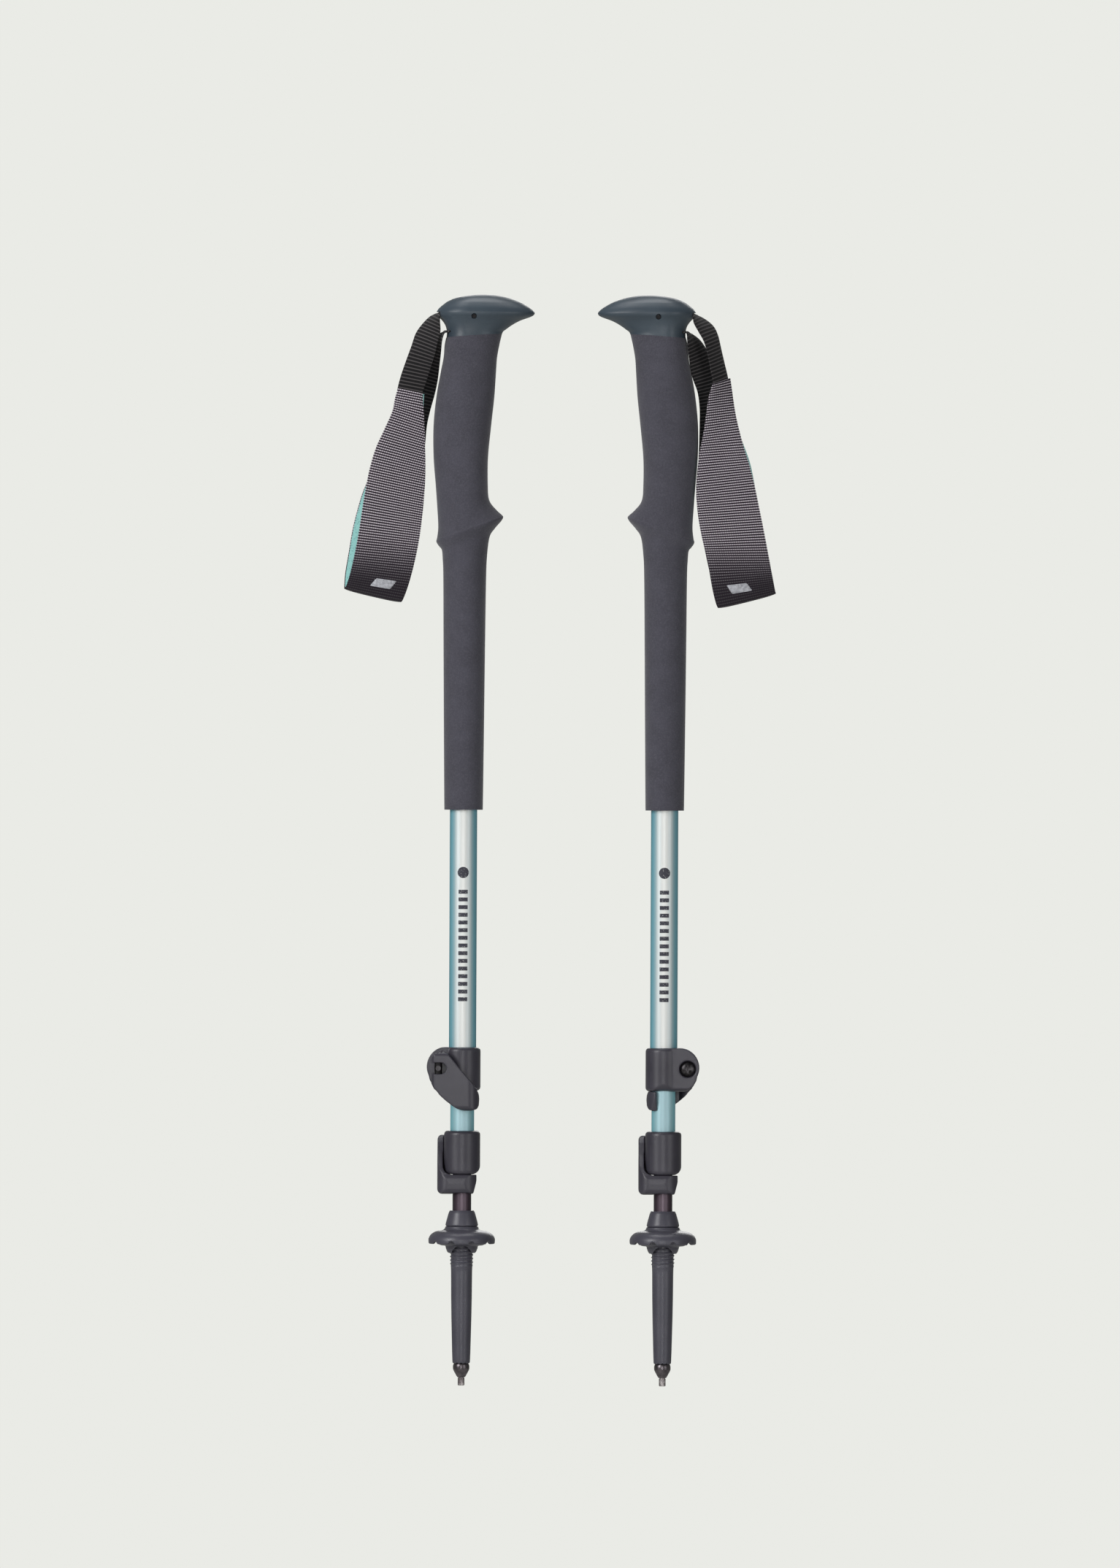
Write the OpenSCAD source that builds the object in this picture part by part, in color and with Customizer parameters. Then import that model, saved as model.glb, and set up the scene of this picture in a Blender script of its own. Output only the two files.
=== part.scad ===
// A pair of three-section trekking poles, collapsed and standing side by side.
// Each pole stands on its tip, with its axis along +Z. The left tip is the origin.
// In a pole's own frame the grip's beak points to +X and the wrist strap hangs at -X.
// The right pole is the same pole turned half round, with its middle section turned back.

/* [Poles] */
// Distance between the two pole axes
pole_gap = 118; // [112:1:160]
// Height of the top of the grip, poles collapsed
pole_top = 640; // [638:1:644]

/* [Tubes] */
// Outer radius of the upper tube
upper_r = 8; // [8:0.01:8]
// Outer radius of the middle tube
mid_r = 7; // [7:0.01:7]
// Outer radius of the lower tube
lower_r = 5.5; // [5.5:0.01:5.5]
// Wall thickness of the tubes
wall = 0.65; // [0.55:0.05:0.65]
// Top end of the middle tube
mid_top = 560; // [540:1:565]
// Top end of the lower tube
lower_top = 512; // [490:1:520]

/* [Grip] */
// Half-width of the grip head, across the beak
head_half_w = 17; // [15:0.5:19]
// Half-width of the foam grip where the palm rests
foam_half_w = 14.5; // [13:0.5:15]
// Bottom end of the foam
foam_bottom = 339; // [330:1:350]

/* [Locks] */
// Bottom face of the upper lock's collar
upper_lock_z = 173; // [171:1:175]
// Bottom face of the lower lock's collar
lower_lock_z = 124; // [122:1:126]
// Radius of a lock's collar
collar_r = 10.6; // [10.2:0.1:11]
// Height of a lock's collar
collar_h = 25.5; // [25:0.5:26]
// Width of the clamping slit
slit_w = 2; // [1:0.5:2.5]

/* [Basket and tip] */
// Radius of the basket's rim
basket_r = 19.6; // [18:0.2:24]
// Radius of the carbide tip
carbide_r = 2; // [1.8:0.1:2.2]

/* [Strap] */
// Width of the strap webbing
web_w = 15.5; // [14:0.5:16]
// Thickness of the strap webbing
web_t = 1.5; // [1.2:0.1:1.8]
// Thickness of the padded band
band_t = 1.9; // [1.5:0.1:2.2]

/* [Hidden] */
$fn = 64;

left = 0;
right = 1;
glue = 0.02;        // radial gap of a glued or pressed joint
running = 0.05;     // radial gap of a running fit

// Colours
head_colour = [0.27, 0.33, 0.37];
foam_colour = [0.27, 0.27, 0.30];
plastic_colour = [0.25, 0.25, 0.28];
upper_tube_colour = [0.72, 0.81, 0.83];
mid_tube_colour = [0.58, 0.76, 0.80];
lower_tube_colour = [0.22, 0.17, 0.21];
web_colour = [0.10, 0.10, 0.11];
band_colour = [0.44, 0.40, 0.44];
lining_colour = [0.49, 0.79, 0.74];
patch_colour = [0.70, 0.71, 0.74];
steel_colour = [0.55, 0.55, 0.57];
dark_steel_colour = [0.25, 0.24, 0.25];
guide_colour = [0.85, 0.85, 0.82];

// Placing: the upper half of a pole, and its lower half, which is turned by itself
lock_turn = -90;    // direction of the lower lock, the same on both poles
module upper_half(side) translate([side * pole_gap, 0, 0]) rotate(side * 180) children();
module lower_half(side) translate([side * pole_gap, 0, 0]) rotate(lock_turn) children();

// ---------- Grip ----------

// One ring of the grip: an egg with its widest place at the pole axis. The ring lies in a
// plane that rises by slope for each millimetre towards the beak.
ring_n = 40;
widest_x = 1;
function egg_x(rear, front, a) = widest_x + (cos(a) > 0 ? front - widest_x : widest_x - rear) * cos(a);
function ring(rear, front, half_w, z, slope) = [
    for (i = [0 : ring_n - 1])
        let (a = 360 * i / ring_n, x = egg_x(rear, front, a))
        [x, half_w * sin(a), z + slope * x]
];
function side_faces(rings) = [
    for (k = [0 : rings - 2], i = [0 : ring_n - 1])
        [k * ring_n + i, k * ring_n + (i + 1) % ring_n,
         (k + 1) * ring_n + (i + 1) % ring_n, (k + 1) * ring_n + i]
];
// Closed solid through rings listed from the top down: [rear, front, half width, z, slope]
module egg_stack(rows) {
    points = [for (r = rows) each ring(r[0], r[1], r[2], r[3], r[4])];
    last = len(rows) - 1;
    top_face = [for (i = [0 : ring_n - 1]) ring_n - 1 - i];
    bottom_face = [for (i = [0 : ring_n - 1]) last * ring_n + i];
    polyhedron(points, concat([top_face], side_faces(len(rows)), [bottom_face]), 10);
}

parting_z = 615.6;      // head and foam part here, at the pole axis
parting_slope = 0.07;
tube_end = 612;         // top end of the upper tube
spigot_bottom = 590;    // bottom of the head's plug in the tube

head_rows = [
    [3, 16, 4, pole_top, 0],
    [-4.5, 26, 10.5, pole_top - 1.6, 0],
    [-9.7, 32.2, 14, pole_top - 4.2, 0],
    [-14.2, 38.2, 16.4, pole_top - 7.6, 0],
    [-16.6, 40.5, head_half_w, pole_top - 10, 0],
    [-17, 40.8, head_half_w, pole_top - 11.3, 0],
    [-16.4, 39.6, 16.6, pole_top - 12.8, 0],
    [-14.6, 34.8, 15.4, pole_top - 14.6, 0],
    [-12.6, 29.6, 14.4, pole_top - 16.8, 0],
    [-11.3, 25.2, 13.9, pole_top - 19.6, 0],
    [-10.9, 22.6, 13.6, pole_top - 22.2, 0.03],
    [-11.2, 21.3, 13.5, parting_z, parting_slope]
];
foam_rows = [
    [-11.6, 21.1, 13.6, parting_z - 0.05, parting_slope],
    [-12.4, 19.6, 13.7, 609.5, 0.02],
    [-12.9, 18.5, 13.7, 603, 0],
    [-14.6, 17.9, 13.9, 594, 0],
    [-17, 17, 14.2, 580, 0],
    [-18.6, 15.2, foam_half_w, 563, 0],
    [-18.5, 13.5, foam_half_w, 545, 0],
    [-17.2, 13.4, 14.2, 529, 0.03],
    [-16.2, 14.2, 14.2, 517.5, 0.16],
    [-15.6, 18.2, 14.5, 508.6, 0.3],
    [-16.2, 21.8, 15.1, 503.1, 0.35],
    [-16.7, 22.5, 15.4, 501.4, 0.352],
    [-16.3, 21.2, 15.1, 499.6, 0.345],
    [-14.9, 17.6, 14.1, 496.6, 0.33],
    [-13.4, 14.6, 13.1, 493.4, 0.28],
    [-12.9, 13.2, 12.8, 486, 0.1],
    [-12.4, 12.65, 12.6, 474, 0],
    [-12.2, 12.2, 12.2, 434, 0],
    [-11.8, 11.8, 11.8, 387, 0],
    [-11.3, 11.3, 11.3, foam_bottom + 1.2, 0],
    [-10.9, 10.9, 10.9, foam_bottom + 0.3, 0],
    [-10.2, 10.2, 10.2, foam_bottom, 0]
];

// The strap runs in at the upper slot, round the cross pin and out at the lower slot
pin_x = 5;
pin_z = 627;
pin_r = 1.2;
slot_half_w = web_w / 2 + 0.8;
bend_r = pin_r + 0.25 + web_t / 2;
cavity_x = [-8, 9];
cavity_z = [616.9, 631];
upper_slot_z = [627, 630.2];
lower_slot_z = [616.9, 619.7];

module block(x, y, z) translate([x[0], y[0], z[0]]) cube([x[1] - x[0], y[1] - y[0], z[1] - z[0]]);
module across(y0, y1) translate([0, y1, 0]) rotate([90, 0, 0]) linear_extrude(y1 - y0) children();
module along(x0, x1) translate([x0, 0, 0]) rotate([90, 0, 90]) linear_extrude(x1 - x0) children();
// Points along an arc of an ellipse, from angle a0 to a1
function arc(centre, rx, ry, a0, a1) = [
    for (i = [0 : 12]) let (a = a0 + (a1 - a0) * i / 12) centre + [rx * cos(a), ry * sin(a)]
];

module grip_head_shape() {
    slot_y = [-slot_half_w, slot_half_w];
    difference() {
        union() {
            egg_stack(head_rows);
            translate([0, 0, spigot_bottom])
                cylinder(r = upper_r - wall - glue, h = parting_z - spigot_bottom + 1);
        }
        block(cavity_x, slot_y, cavity_z);
        block([-20, -7], slot_y, upper_slot_z);
        block([-16, -7], slot_y, lower_slot_z);
        translate([pin_x, -30, pin_z]) rotate([-90, 0, 0]) cylinder(r = pin_r + glue, h = 60);
    }
}
module grip_foam_shape() {
    difference() {
        egg_stack(foam_rows);
        translate([0, 0, foam_bottom - 1]) cylinder(r = upper_r + glue, h = 300);
    }
}
module strap_pin_shape() {
    pin_half = 14.6;
    translate([pin_x, -pin_half, pin_z]) rotate([-90, 0, 0]) cylinder(r = pin_r, h = 2 * pin_half);
}
module strap_wedge_shape() {
    half = web_w / 2;
    across(-half, half) polygon([[-6.2, 617.1], [8.4, 617.1], [8.4, 622.2], [3, 623.2], [0.4, 622.6]]);
}

// ---------- Strap ----------

lower_mouth_x = -12;
upper_mouth_x = -15.2;
swing_x = -17.5;        // the loop swings about this line, at the mouth of the upper slot
swing_z = 627.5;
hang = [0, 2];          // the right strap hangs two degrees closer to its pole
module hanging(side)
    translate([swing_x, 0, swing_z]) rotate([0, -hang[side], 0]) translate([-swing_x, 0, -swing_z])
        children();
module strap_tail_shape() {
    half = web_w / 2;
    out_r = bend_r + web_t / 2;
    in_r = bend_r - web_t / 2;
    // in at the upper slot, above the pin
    across(-half, half) translate([upper_mouth_x, pin_z + in_r]) square([pin_x - upper_mouth_x, web_t]);
    // round the pin
    across(-half, half) translate([pin_x, pin_z]) difference() {
        circle(r = out_r);
        circle(r = in_r);
        translate([-10, -10]) square([10, 20]);
    }
    // down the slope of the wedge and out at the lower slot
    across(-half, half) polygon([
        [pin_x, pin_z - in_r], [-0.8, 625.2], [-7.6, 619.2], [lower_mouth_x, 618.9],
        [lower_mouth_x, 617.4], [-7, 617.6], [0, 623.75], [pin_x, pin_z - out_r]
    ]);
}

// Outline of a leg of the webbing, seen from the front
front_leg = [
    [-16.3, 629], [-18.7, 628.4], [-23.3, 624.7], [-26.8, 621.3], [-30.4, 614.4], [-36, 599], [-40.4, 582],
    [-25.6, 580], [-23, 596], [-20.6, 608], [-18.4, 616.4], [-16.1, 623.4], [-16.6, 626.4]
];
back_leg = [
    [-12.6, 618.7], [-12.6, 617.2], [-14.4, 610], [-15.7, 596.8], [-17.6, 584], [-20.6, 575], [-22.6, 560],
    [-24.4, 546], [-36, 548], [-34.5, 566], [-29, 590], [-22, 608], [-15.2, 618.6]
];
// Outline of the padded band, seen from the front
band_outline = [
    [-40.4, 584.4], [-43, 571], [-48.4, 558], [-54.8, 543], [-59, 530], [-65.2, 504], [-68.4, 487],
    [-71.2, 467.2], [-37, 459], [-32.4, 471], [-28.6, 487], [-25.6, 503], [-24.2, 518], [-23.2, 533],
    [-23.8, 548], [-25, 581.8]
];
patch_outline = [[-57.6, 470.6], [-56, 475.6], [-44.6, 472.8], [-46.2, 467.8]];
band_half = 5.5;        // the band's two layers lie this far in front of and behind the axis
lining_t = 0.5;
fold_slope = 0.24;      // the fold at the bottom rises away from the pole
soft_gap = 0.05;

// Everything above the bottom fold, lifted by a wall thickness
module above_fold(lift) {
    low = 459 + lift;
    polygon([[-90, low + 53 * fold_slope], [-10, low - 27 * fold_slope], [-10, 700], [-90, 700]]);
}
// A loop of cloth that goes down in front, round the bottom fold and up behind
module folded_layer(half, lift, t) {
    difference() {
        across(-half, half) intersection() {
            children();
            above_fold(lift);
        }
        across(-half + t, half - t) above_fold(lift + t);
    }
}
module strap_webbing_shape() {
    across(-band_half + 0.2, -band_half + 0.2 + web_t) polygon(front_leg);
    across(band_half - 0.2 - web_t, band_half - 0.2) polygon(back_leg);
}
module strap_band_shape() {
    difference() {
        folded_layer(band_half, -1, band_t) polygon(band_outline);
        // room for the two legs of the webbing, which are sewn in between the layers
        across(-band_half + 0.15, -band_half + 0.25 + web_t) intersection() {
            polygon(front_leg);
            translate([-60, 500]) square(100);
        }
        across(band_half - 0.25 - web_t, band_half - 0.15) intersection() {
            polygon(back_leg);
            translate([-60, 500]) square(100);
        }
    }
}
module strap_lining_shape() {
    folded_layer(band_half - band_t - soft_gap, band_t + soft_gap - 1, lining_t) difference() {
        polygon(band_outline);
        translate([-60, 570]) square([60, 40]);
    }
}
module strap_patch_shape() {
    across(-band_half - 0.35, -band_half - soft_gap) polygon(patch_outline);
}

// ---------- Tubes and guides ----------

module tube(r, z0, z1) {
    translate([0, 0, z0]) difference() {
        cylinder(r = r, h = z1 - z0);
        translate([0, 0, -1]) cylinder(r = r - wall, h = z1 - z0 + 2);
    }
}
// A tube whose lower end is slotted, so that the collar can squeeze it
module slotted_tube(r, z0, z1) {
    slot_h = 17;
    slot_half = 0.6;
    difference() {
        tube(r, z0, z1);
        block([-r - 1, 0], [-slot_half, slot_half], [z0 - 1, z0 + slot_h]);
    }
}
// Bush at the top end of a tube: a plug in the tube and a collar that runs in the next tube
module guide(inner_r, outer_r, end_z) {
    plug_h = 12;
    collar = 12;
    bore = inner_r - 2;
    translate([0, 0, end_z]) difference() {
        union() {
            translate([0, 0, 0.1]) cylinder(r = outer_r - running, h = collar);
            translate([0, 0, -plug_h]) cylinder(r = inner_r - running, h = plug_h + 1);
        }
        translate([0, 0, -plug_h - 1]) cylinder(r = bore, h = plug_h + collar + 3);
    }
}

// ---------- Cam-lever lock ----------
// Lock frame: bottom of the collar at z = 0, the two ears point to -X, the lever lies at -Y
// and its tab goes round the +X side under the collar.

screw_x = -14.1;
screw_z = 13.2;
pivot_y = -11.2;            // axis of the barrel nut, on which the lever turns
nut_r = 2.2;
screw_r = 1.5;
screw_head_r = 4.4;
ear_lever_y = -6.8;         // face of the ear on which the cam bears
ear_screw_y = 9.4;          // face of the ear that holds the screw's head
recess_depth = 3;
ear_c = [-9.3, 14];         // centre of the ear's round end
ear_r = 11.6;
cam_gap = 0.04;
collar_corner = 5;          // radius of the collar's bottom corners, seen along X
grip_h = 6;                 // height of the stepped-down end of the bore
grip_gap = 0.1;             // gap round the sliding tube with the lever open
pivot_to_ear = ear_lever_y - pivot_y;
plate_out_y = -14.5;        // outer face of the lever's plate
plate_in_y = -10.85;        // inner face, just clear of the collar
lever_front = 10;           // how far the lever reaches along +X

module ear_outline() {
    translate(ear_c) circle(r = ear_r);
    polygon([
        [-19.8, 9.2], [-19.2, 6.4], [-17.3, 3], [-13, 0.2], [-12, 0], [0, 0], [0, collar_h],
        [-9.3, collar_h], [-14, 20]
    ]);
}
// The collar is glued on the tube outside (tube_r). Below that tube's end its bore steps down
// and closes on the tube that slides inside (next_r).
module collar_shape(tube_r, next_r) {
    edge = 2.2;
    difference() {
        intersection() {
            union() {
                rotate_extrude() barrel_profile(collar_r, collar_h, edge);
                intersection() {
                    across(ear_lever_y, ear_screw_y) ear_outline();
                    block([-30, 0], [-20, 20], [0, collar_h]);
                }
            }
            along(-30, 20) collar_end_outline(0);
        }
        translate([0, 0, -1]) cylinder(r = next_r + grip_gap, h = collar_h + 2);
        translate([0, 0, grip_h]) cylinder(r = tube_r + glue, h = collar_h);
        block([-30, 0], [-slit_w / 2, slit_w / 2], [-1, collar_h + 1]);
        translate([screw_x, -20, screw_z]) rotate([-90, 0, 0]) cylinder(r = screw_r + 0.2, h = 40);
        translate([screw_x, ear_screw_y - recess_depth, screw_z])
            rotate([-90, 0, 0]) cylinder(r = screw_head_r + 0.5, h = 10);
    }
}
// The collar seen along X, grown by gap
module collar_end_outline(gap) {
    side = collar_r - collar_corner;
    translate([-collar_r - gap, collar_corner]) square([2 * (collar_r + gap), collar_h]);
    translate([-side, -gap]) square([2 * side, collar_h]);
    for (s = [-1, 1]) translate([s * side, collar_corner]) circle(r = collar_corner + gap);
}
// Half profile of a barrel with rounded ends
module barrel_profile(r, h, edge) {
    square([r - edge, h]);
    translate([0, edge]) square([r, h - 2 * edge]);
    for (z = [edge, h - edge]) translate([r - edge, z]) circle(r = edge, $fn = 48);
}

// The lever seen from the side: a round lobe on the ear, and an arm down to the tab
module lever_outline() {
    polygon([
        [-18.6, 18.4], [-18.8, 7.4], [-18.1, 4.1], [-16.4, 0.9], [-13.5, -2.3], [-10, -5.5], [-6, -8.6],
        [-2.9, -10.6], [0.9, -11.6], [5.5, -11.6], [8.6, -10.7], [9.7, -8.8], [10, -5], [9.7, -2.3],
        [8.8, -0.6], [8.7, 0.9], [5.4, 5.1], [2.6, 8.3], [-0.2, 11.5], [-3, 15], [-5.9, 18.8],
        [-8.4, 21.5], [-10.2, 22.6], [-12, 23], [-14, 22.9], [-15.9, 22.1], [-17.4, 20.6]
    ]);
}
// The lever seen along X: round outer corners, and a tab that narrows towards its free edge
module lever_end_outline() {
    corner = 3;
    low = -11.6;
    high = 23;
    polygon([
        [plate_out_y + corner, low], [6, low], [6.8, -11], [9.4, -1], [9.4, high],
        [plate_out_y + corner, high]
    ]);
    translate([plate_out_y, low + corner]) square([corner + 1, high - low - 2 * corner]);
    for (z = [low + corner, high - corner]) translate([plate_out_y + corner, z]) circle(r = corner);
}
lever_bend_r = 7;
tab_turn = 61;              // how far the tab reaches round the tube, in degrees
bend_line = concat(
    [[-1, plate_out_y]],
    arc([lever_front - lever_bend_r, plate_out_y + lever_bend_r], lever_bend_r, lever_bend_r, -90, 0)
);
tab_line = concat(
    arc([0, 0], lever_front, lever_front, 0, tab_turn),
    [[(upper_r - 1) * cos(tab_turn), (upper_r - 1) * sin(tab_turn)], [-1, 0]]
);
// The lever seen from above, above and below the collar's bottom face
module lever_plan(with_tab) {
    translate([screw_x, pivot_y]) {
        intersection() {
            circle(r = 4);
            translate([-5, plate_out_y - pivot_y]) square(10);
        }
        intersection() {
            circle(r = pivot_to_ear - cam_gap);
            translate([-1.6, 0]) square(10);
        }
    }
    // a plate that bends round the front of the collar and, below it, on round the tube
    difference() {
        polygon(concat(bend_line, with_tab ? tab_line : [[lever_front, -4], [-1, -4]]));
        circle(r = with_tab ? upper_r - 0.4 : collar_r + 0.25);
    }
    translate([screw_x, plate_out_y]) square([0.1 - screw_x, plate_in_y - plate_out_y]);
}
module lever_shape() {
    slot_half_h = 3.3;
    tab_top = -0.6;
    slot_end_x = -9.3 - slot_half_h;
    difference() {
        intersection() {
            across(-20, 20) lever_outline();
            along(-30, 20) lever_end_outline();
            union() {
                translate([0, 0, tab_top]) linear_extrude(collar_h + 1) lever_plan(false);
                translate([0, 0, -12]) linear_extrude(12 + tab_top) lever_plan(true);
                // the web that fills the hollow under the collar's bottom corner
                intersection() {
                    translate([0, 0, tab_top - 1]) linear_extrude(collar_corner) lever_plan(true);
                    block([-1, 12], [-20, -1], [-2, collar_corner]);
                }
            }
        }
        along(-2, 12) collar_end_outline(-tab_top);
        translate([screw_x, pivot_y, 6.6]) cylinder(r = nut_r + running, h = collar_h);
        across(-20, 0) union() {
            translate([slot_end_x, screw_z]) circle(r = slot_half_h);
            translate([-30, screw_z - slot_half_h]) square([30 + slot_end_x, 2 * slot_half_h]);
        }
    }
}
module barrel_nut_shape() {
    nut_h = 12.6;
    difference() {
        translate([screw_x, pivot_y, screw_z - nut_h / 2]) cylinder(r = nut_r, h = nut_h);
        translate([screw_x, -20, screw_z]) rotate([-90, 0, 0]) cylinder(r = screw_r + glue, h = 40);
    }
}
module lock_screw_shape() {
    head_h = 2.4;
    shank_end = -12.9;
    cross_w = 0.9;
    cross_l = 4.6;
    seat = ear_screw_y - recess_depth;
    translate([screw_x, seat, screw_z]) rotate([-90, 0, 0]) {
        difference() {
            rotate_extrude() intersection() {
                square([screw_head_r, head_h]);
                translate([0, -4.4]) circle(r = 6.9);
            }
            for (a = [0, 90]) rotate(a)
                translate([-cross_l / 2, -cross_w / 2, 1]) cube([cross_l, cross_w, 4]);
        }
        mirror([0, 0, 1]) cylinder(r = screw_r, h = seat - shank_end);
    }
}

// ---------- Tip and basket ----------

thread_r = 6.85;
thread_pitch = 2.1;
thread_bottom = 70.5;
thread_turns = 9;
socket_bottom = 62;         // the lower tube stands on this floor
ferrule_shank_r = 3.4;

module tip_body_shape() {
    difference() {
        union() {
            rotate_extrude() polygon([
                [0, 13], [4.75, 13], [5.2, 14.2], [5.4, 20], [5.65, 30], [5.9, 40], [6.1, 52],
                [6.25, 69.6], [6.4, 70], [6.4, 93.4], [9.4, 93.4], [9.75, 94], [7.6, 102], [7, 102.7],
                [0, 102.7]
            ]);
            for (k = [0 : thread_turns - 1])
                translate([0, 0, thread_bottom + k * thread_pitch])
                    rotate_extrude() translate([thread_r - 0.5, 0]) circle(r = 0.5, $fn = 24);
        }
        translate([0, 0, socket_bottom]) cylinder(r = lower_r + glue, h = 60);
        translate([0, 0, 12]) cylinder(r = ferrule_shank_r + glue, h = 14.1);
    }
}
module tip_ferrule_shape() {
    difference() {
        rotate_extrude() polygon([
            [0, 26], [ferrule_shank_r, 26], [ferrule_shank_r, 12.9], [4.5, 12.9], [4.9, 11.6],
            [4.9, 9.8], [4.5, 8.8], [2.7, 5.2], [2.4, 4.8], [0, 4.8]
        ]);
        cylinder(r = carbide_r - 0.3 + glue, h = 20);
    }
}
module carbide_tip_shape() {
    // a stepped pin with a cupped end, whose rim bites on rock
    bare_h = 4.4;
    shank_r = carbide_r - 0.3;
    difference() {
        union() {
            cylinder(r = carbide_r, h = bare_h);
            cylinder(r = shank_r, h = 19.9);
        }
        translate([0, 0, -1.6]) sphere(r = 2.2, $fn = 40);
    }
}
module basket_shape() {
    notches = 10;
    notch_r = 2;
    difference() {
        rotate_extrude() polygon([
            [thread_r + running, 93.3], [9.6, 93.3], [9.9, 92.2], [10.6, 91.4],
            each arc([12, 85], basket_r - 12, 5.9, 90, 0),
            [basket_r, 83.6], [basket_r - 0.6, 83], [18, 83.4], [17.2, 84.8], [16, 84.6],
            [13.6, 82.8], [12.2, 82.2], [9.6, 82], [9.3, 80.4], [8.6, 78.6], [8, 77.8],
            [thread_r + running, 77.6]
        ]);
        for (k = [0 : notches - 1]) rotate((k + 0.5) * 360 / notches)
            translate([14.5, 0, 82.9]) rotate([0, 90, 0]) cylinder(r = notch_r, h = 10, $fn = 32);
        // arched windows through the hub that let it flex over the thread
        translate([-14, 0, 76.2]) rotate([0, 90, 0]) cylinder(r = 6, h = 28);
    }
}

// ---------- Sub-parts ----------

module at_z(z) translate([0, 0, z]) children();
module upper_tube_shape() slotted_tube(upper_r, upper_lock_z + grip_h + 0.2, tube_end);
module mid_tube_shape() slotted_tube(mid_r, lower_lock_z + grip_h + 0.2, mid_top);
module lower_tube_shape() tube(lower_r, socket_bottom, lower_top);
module mid_guide_shape() guide(mid_r - wall, upper_r - wall, mid_top);
module lower_guide_shape() guide(lower_r - wall, mid_r - wall, lower_top);

module left_grip_head()
    color(head_colour) upper_half(left) grip_head_shape();
module left_grip_foam()
    color(foam_colour) upper_half(left) grip_foam_shape();
module left_strap_pin()
    color(steel_colour) upper_half(left) strap_pin_shape();
module left_strap_wedge()
    color(plastic_colour) upper_half(left) strap_wedge_shape();
module left_strap_tail()
    color(web_colour) upper_half(left) strap_tail_shape();
module left_strap_webbing()
    color(web_colour) upper_half(left) hanging(left) strap_webbing_shape();
module left_strap_band()
    color(band_colour) upper_half(left) hanging(left) strap_band_shape();
module left_strap_lining()
    color(lining_colour) upper_half(left) hanging(left) strap_lining_shape();
module left_strap_patch()
    color(patch_colour) upper_half(left) hanging(left) strap_patch_shape();
module left_upper_tube()
    color(upper_tube_colour) upper_half(left) upper_tube_shape();
module left_upper_collar()
    color(plastic_colour) upper_half(left) at_z(upper_lock_z) collar_shape(upper_r, mid_r);
module left_upper_lever()
    color(plastic_colour) upper_half(left) at_z(upper_lock_z) lever_shape();
module left_upper_screw()
    color(dark_steel_colour) upper_half(left) at_z(upper_lock_z) lock_screw_shape();
module left_upper_barrel_nut()
    color(dark_steel_colour) upper_half(left) at_z(upper_lock_z) barrel_nut_shape();
module left_mid_guide()
    color(guide_colour) upper_half(left) mid_guide_shape();
module left_mid_tube()
    color(mid_tube_colour) lower_half(left) mid_tube_shape();
module left_lower_collar()
    color(plastic_colour) lower_half(left) at_z(lower_lock_z) collar_shape(mid_r, lower_r);
module left_lower_lever()
    color(plastic_colour) lower_half(left) at_z(lower_lock_z) lever_shape();
module left_lower_screw()
    color(dark_steel_colour) lower_half(left) at_z(lower_lock_z) lock_screw_shape();
module left_lower_barrel_nut()
    color(dark_steel_colour) lower_half(left) at_z(lower_lock_z) barrel_nut_shape();
module left_lower_guide()
    color(guide_colour) lower_half(left) lower_guide_shape();
module left_lower_tube()
    color(lower_tube_colour) lower_half(left) lower_tube_shape();
module left_tip_body()
    color(plastic_colour) lower_half(left) tip_body_shape();
module left_tip_ferrule()
    color(dark_steel_colour) lower_half(left) tip_ferrule_shape();
module left_carbide_tip()
    color(steel_colour) lower_half(left) carbide_tip_shape();
module left_basket()
    color(plastic_colour) lower_half(left) basket_shape();

module right_grip_head()
    color(head_colour) upper_half(right) grip_head_shape();
module right_grip_foam()
    color(foam_colour) upper_half(right) grip_foam_shape();
module right_strap_pin()
    color(steel_colour) upper_half(right) strap_pin_shape();
module right_strap_wedge()
    color(plastic_colour) upper_half(right) strap_wedge_shape();
module right_strap_tail()
    color(web_colour) upper_half(right) strap_tail_shape();
module right_strap_webbing()
    color(web_colour) upper_half(right) hanging(right) strap_webbing_shape();
module right_strap_band()
    color(band_colour) upper_half(right) hanging(right) strap_band_shape();
module right_strap_lining()
    color(lining_colour) upper_half(right) hanging(right) strap_lining_shape();
module right_strap_patch()
    color(patch_colour) upper_half(right) hanging(right) strap_patch_shape();
module right_upper_tube()
    color(upper_tube_colour) upper_half(right) upper_tube_shape();
module right_upper_collar()
    color(plastic_colour) upper_half(right) at_z(upper_lock_z) collar_shape(upper_r, mid_r);
module right_upper_lever()
    color(plastic_colour) upper_half(right) at_z(upper_lock_z) lever_shape();
module right_upper_screw()
    color(dark_steel_colour) upper_half(right) at_z(upper_lock_z) lock_screw_shape();
module right_upper_barrel_nut()
    color(dark_steel_colour) upper_half(right) at_z(upper_lock_z) barrel_nut_shape();
module right_mid_guide()
    color(guide_colour) upper_half(right) mid_guide_shape();
module right_mid_tube()
    color(mid_tube_colour) lower_half(right) mid_tube_shape();
module right_lower_collar()
    color(plastic_colour) lower_half(right) at_z(lower_lock_z) collar_shape(mid_r, lower_r);
module right_lower_lever()
    color(plastic_colour) lower_half(right) at_z(lower_lock_z) lever_shape();
module right_lower_screw()
    color(dark_steel_colour) lower_half(right) at_z(lower_lock_z) lock_screw_shape();
module right_lower_barrel_nut()
    color(dark_steel_colour) lower_half(right) at_z(lower_lock_z) barrel_nut_shape();
module right_lower_guide()
    color(guide_colour) lower_half(right) lower_guide_shape();
module right_lower_tube()
    color(lower_tube_colour) lower_half(right) lower_tube_shape();
module right_tip_body()
    color(plastic_colour) lower_half(right) tip_body_shape();
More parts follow.
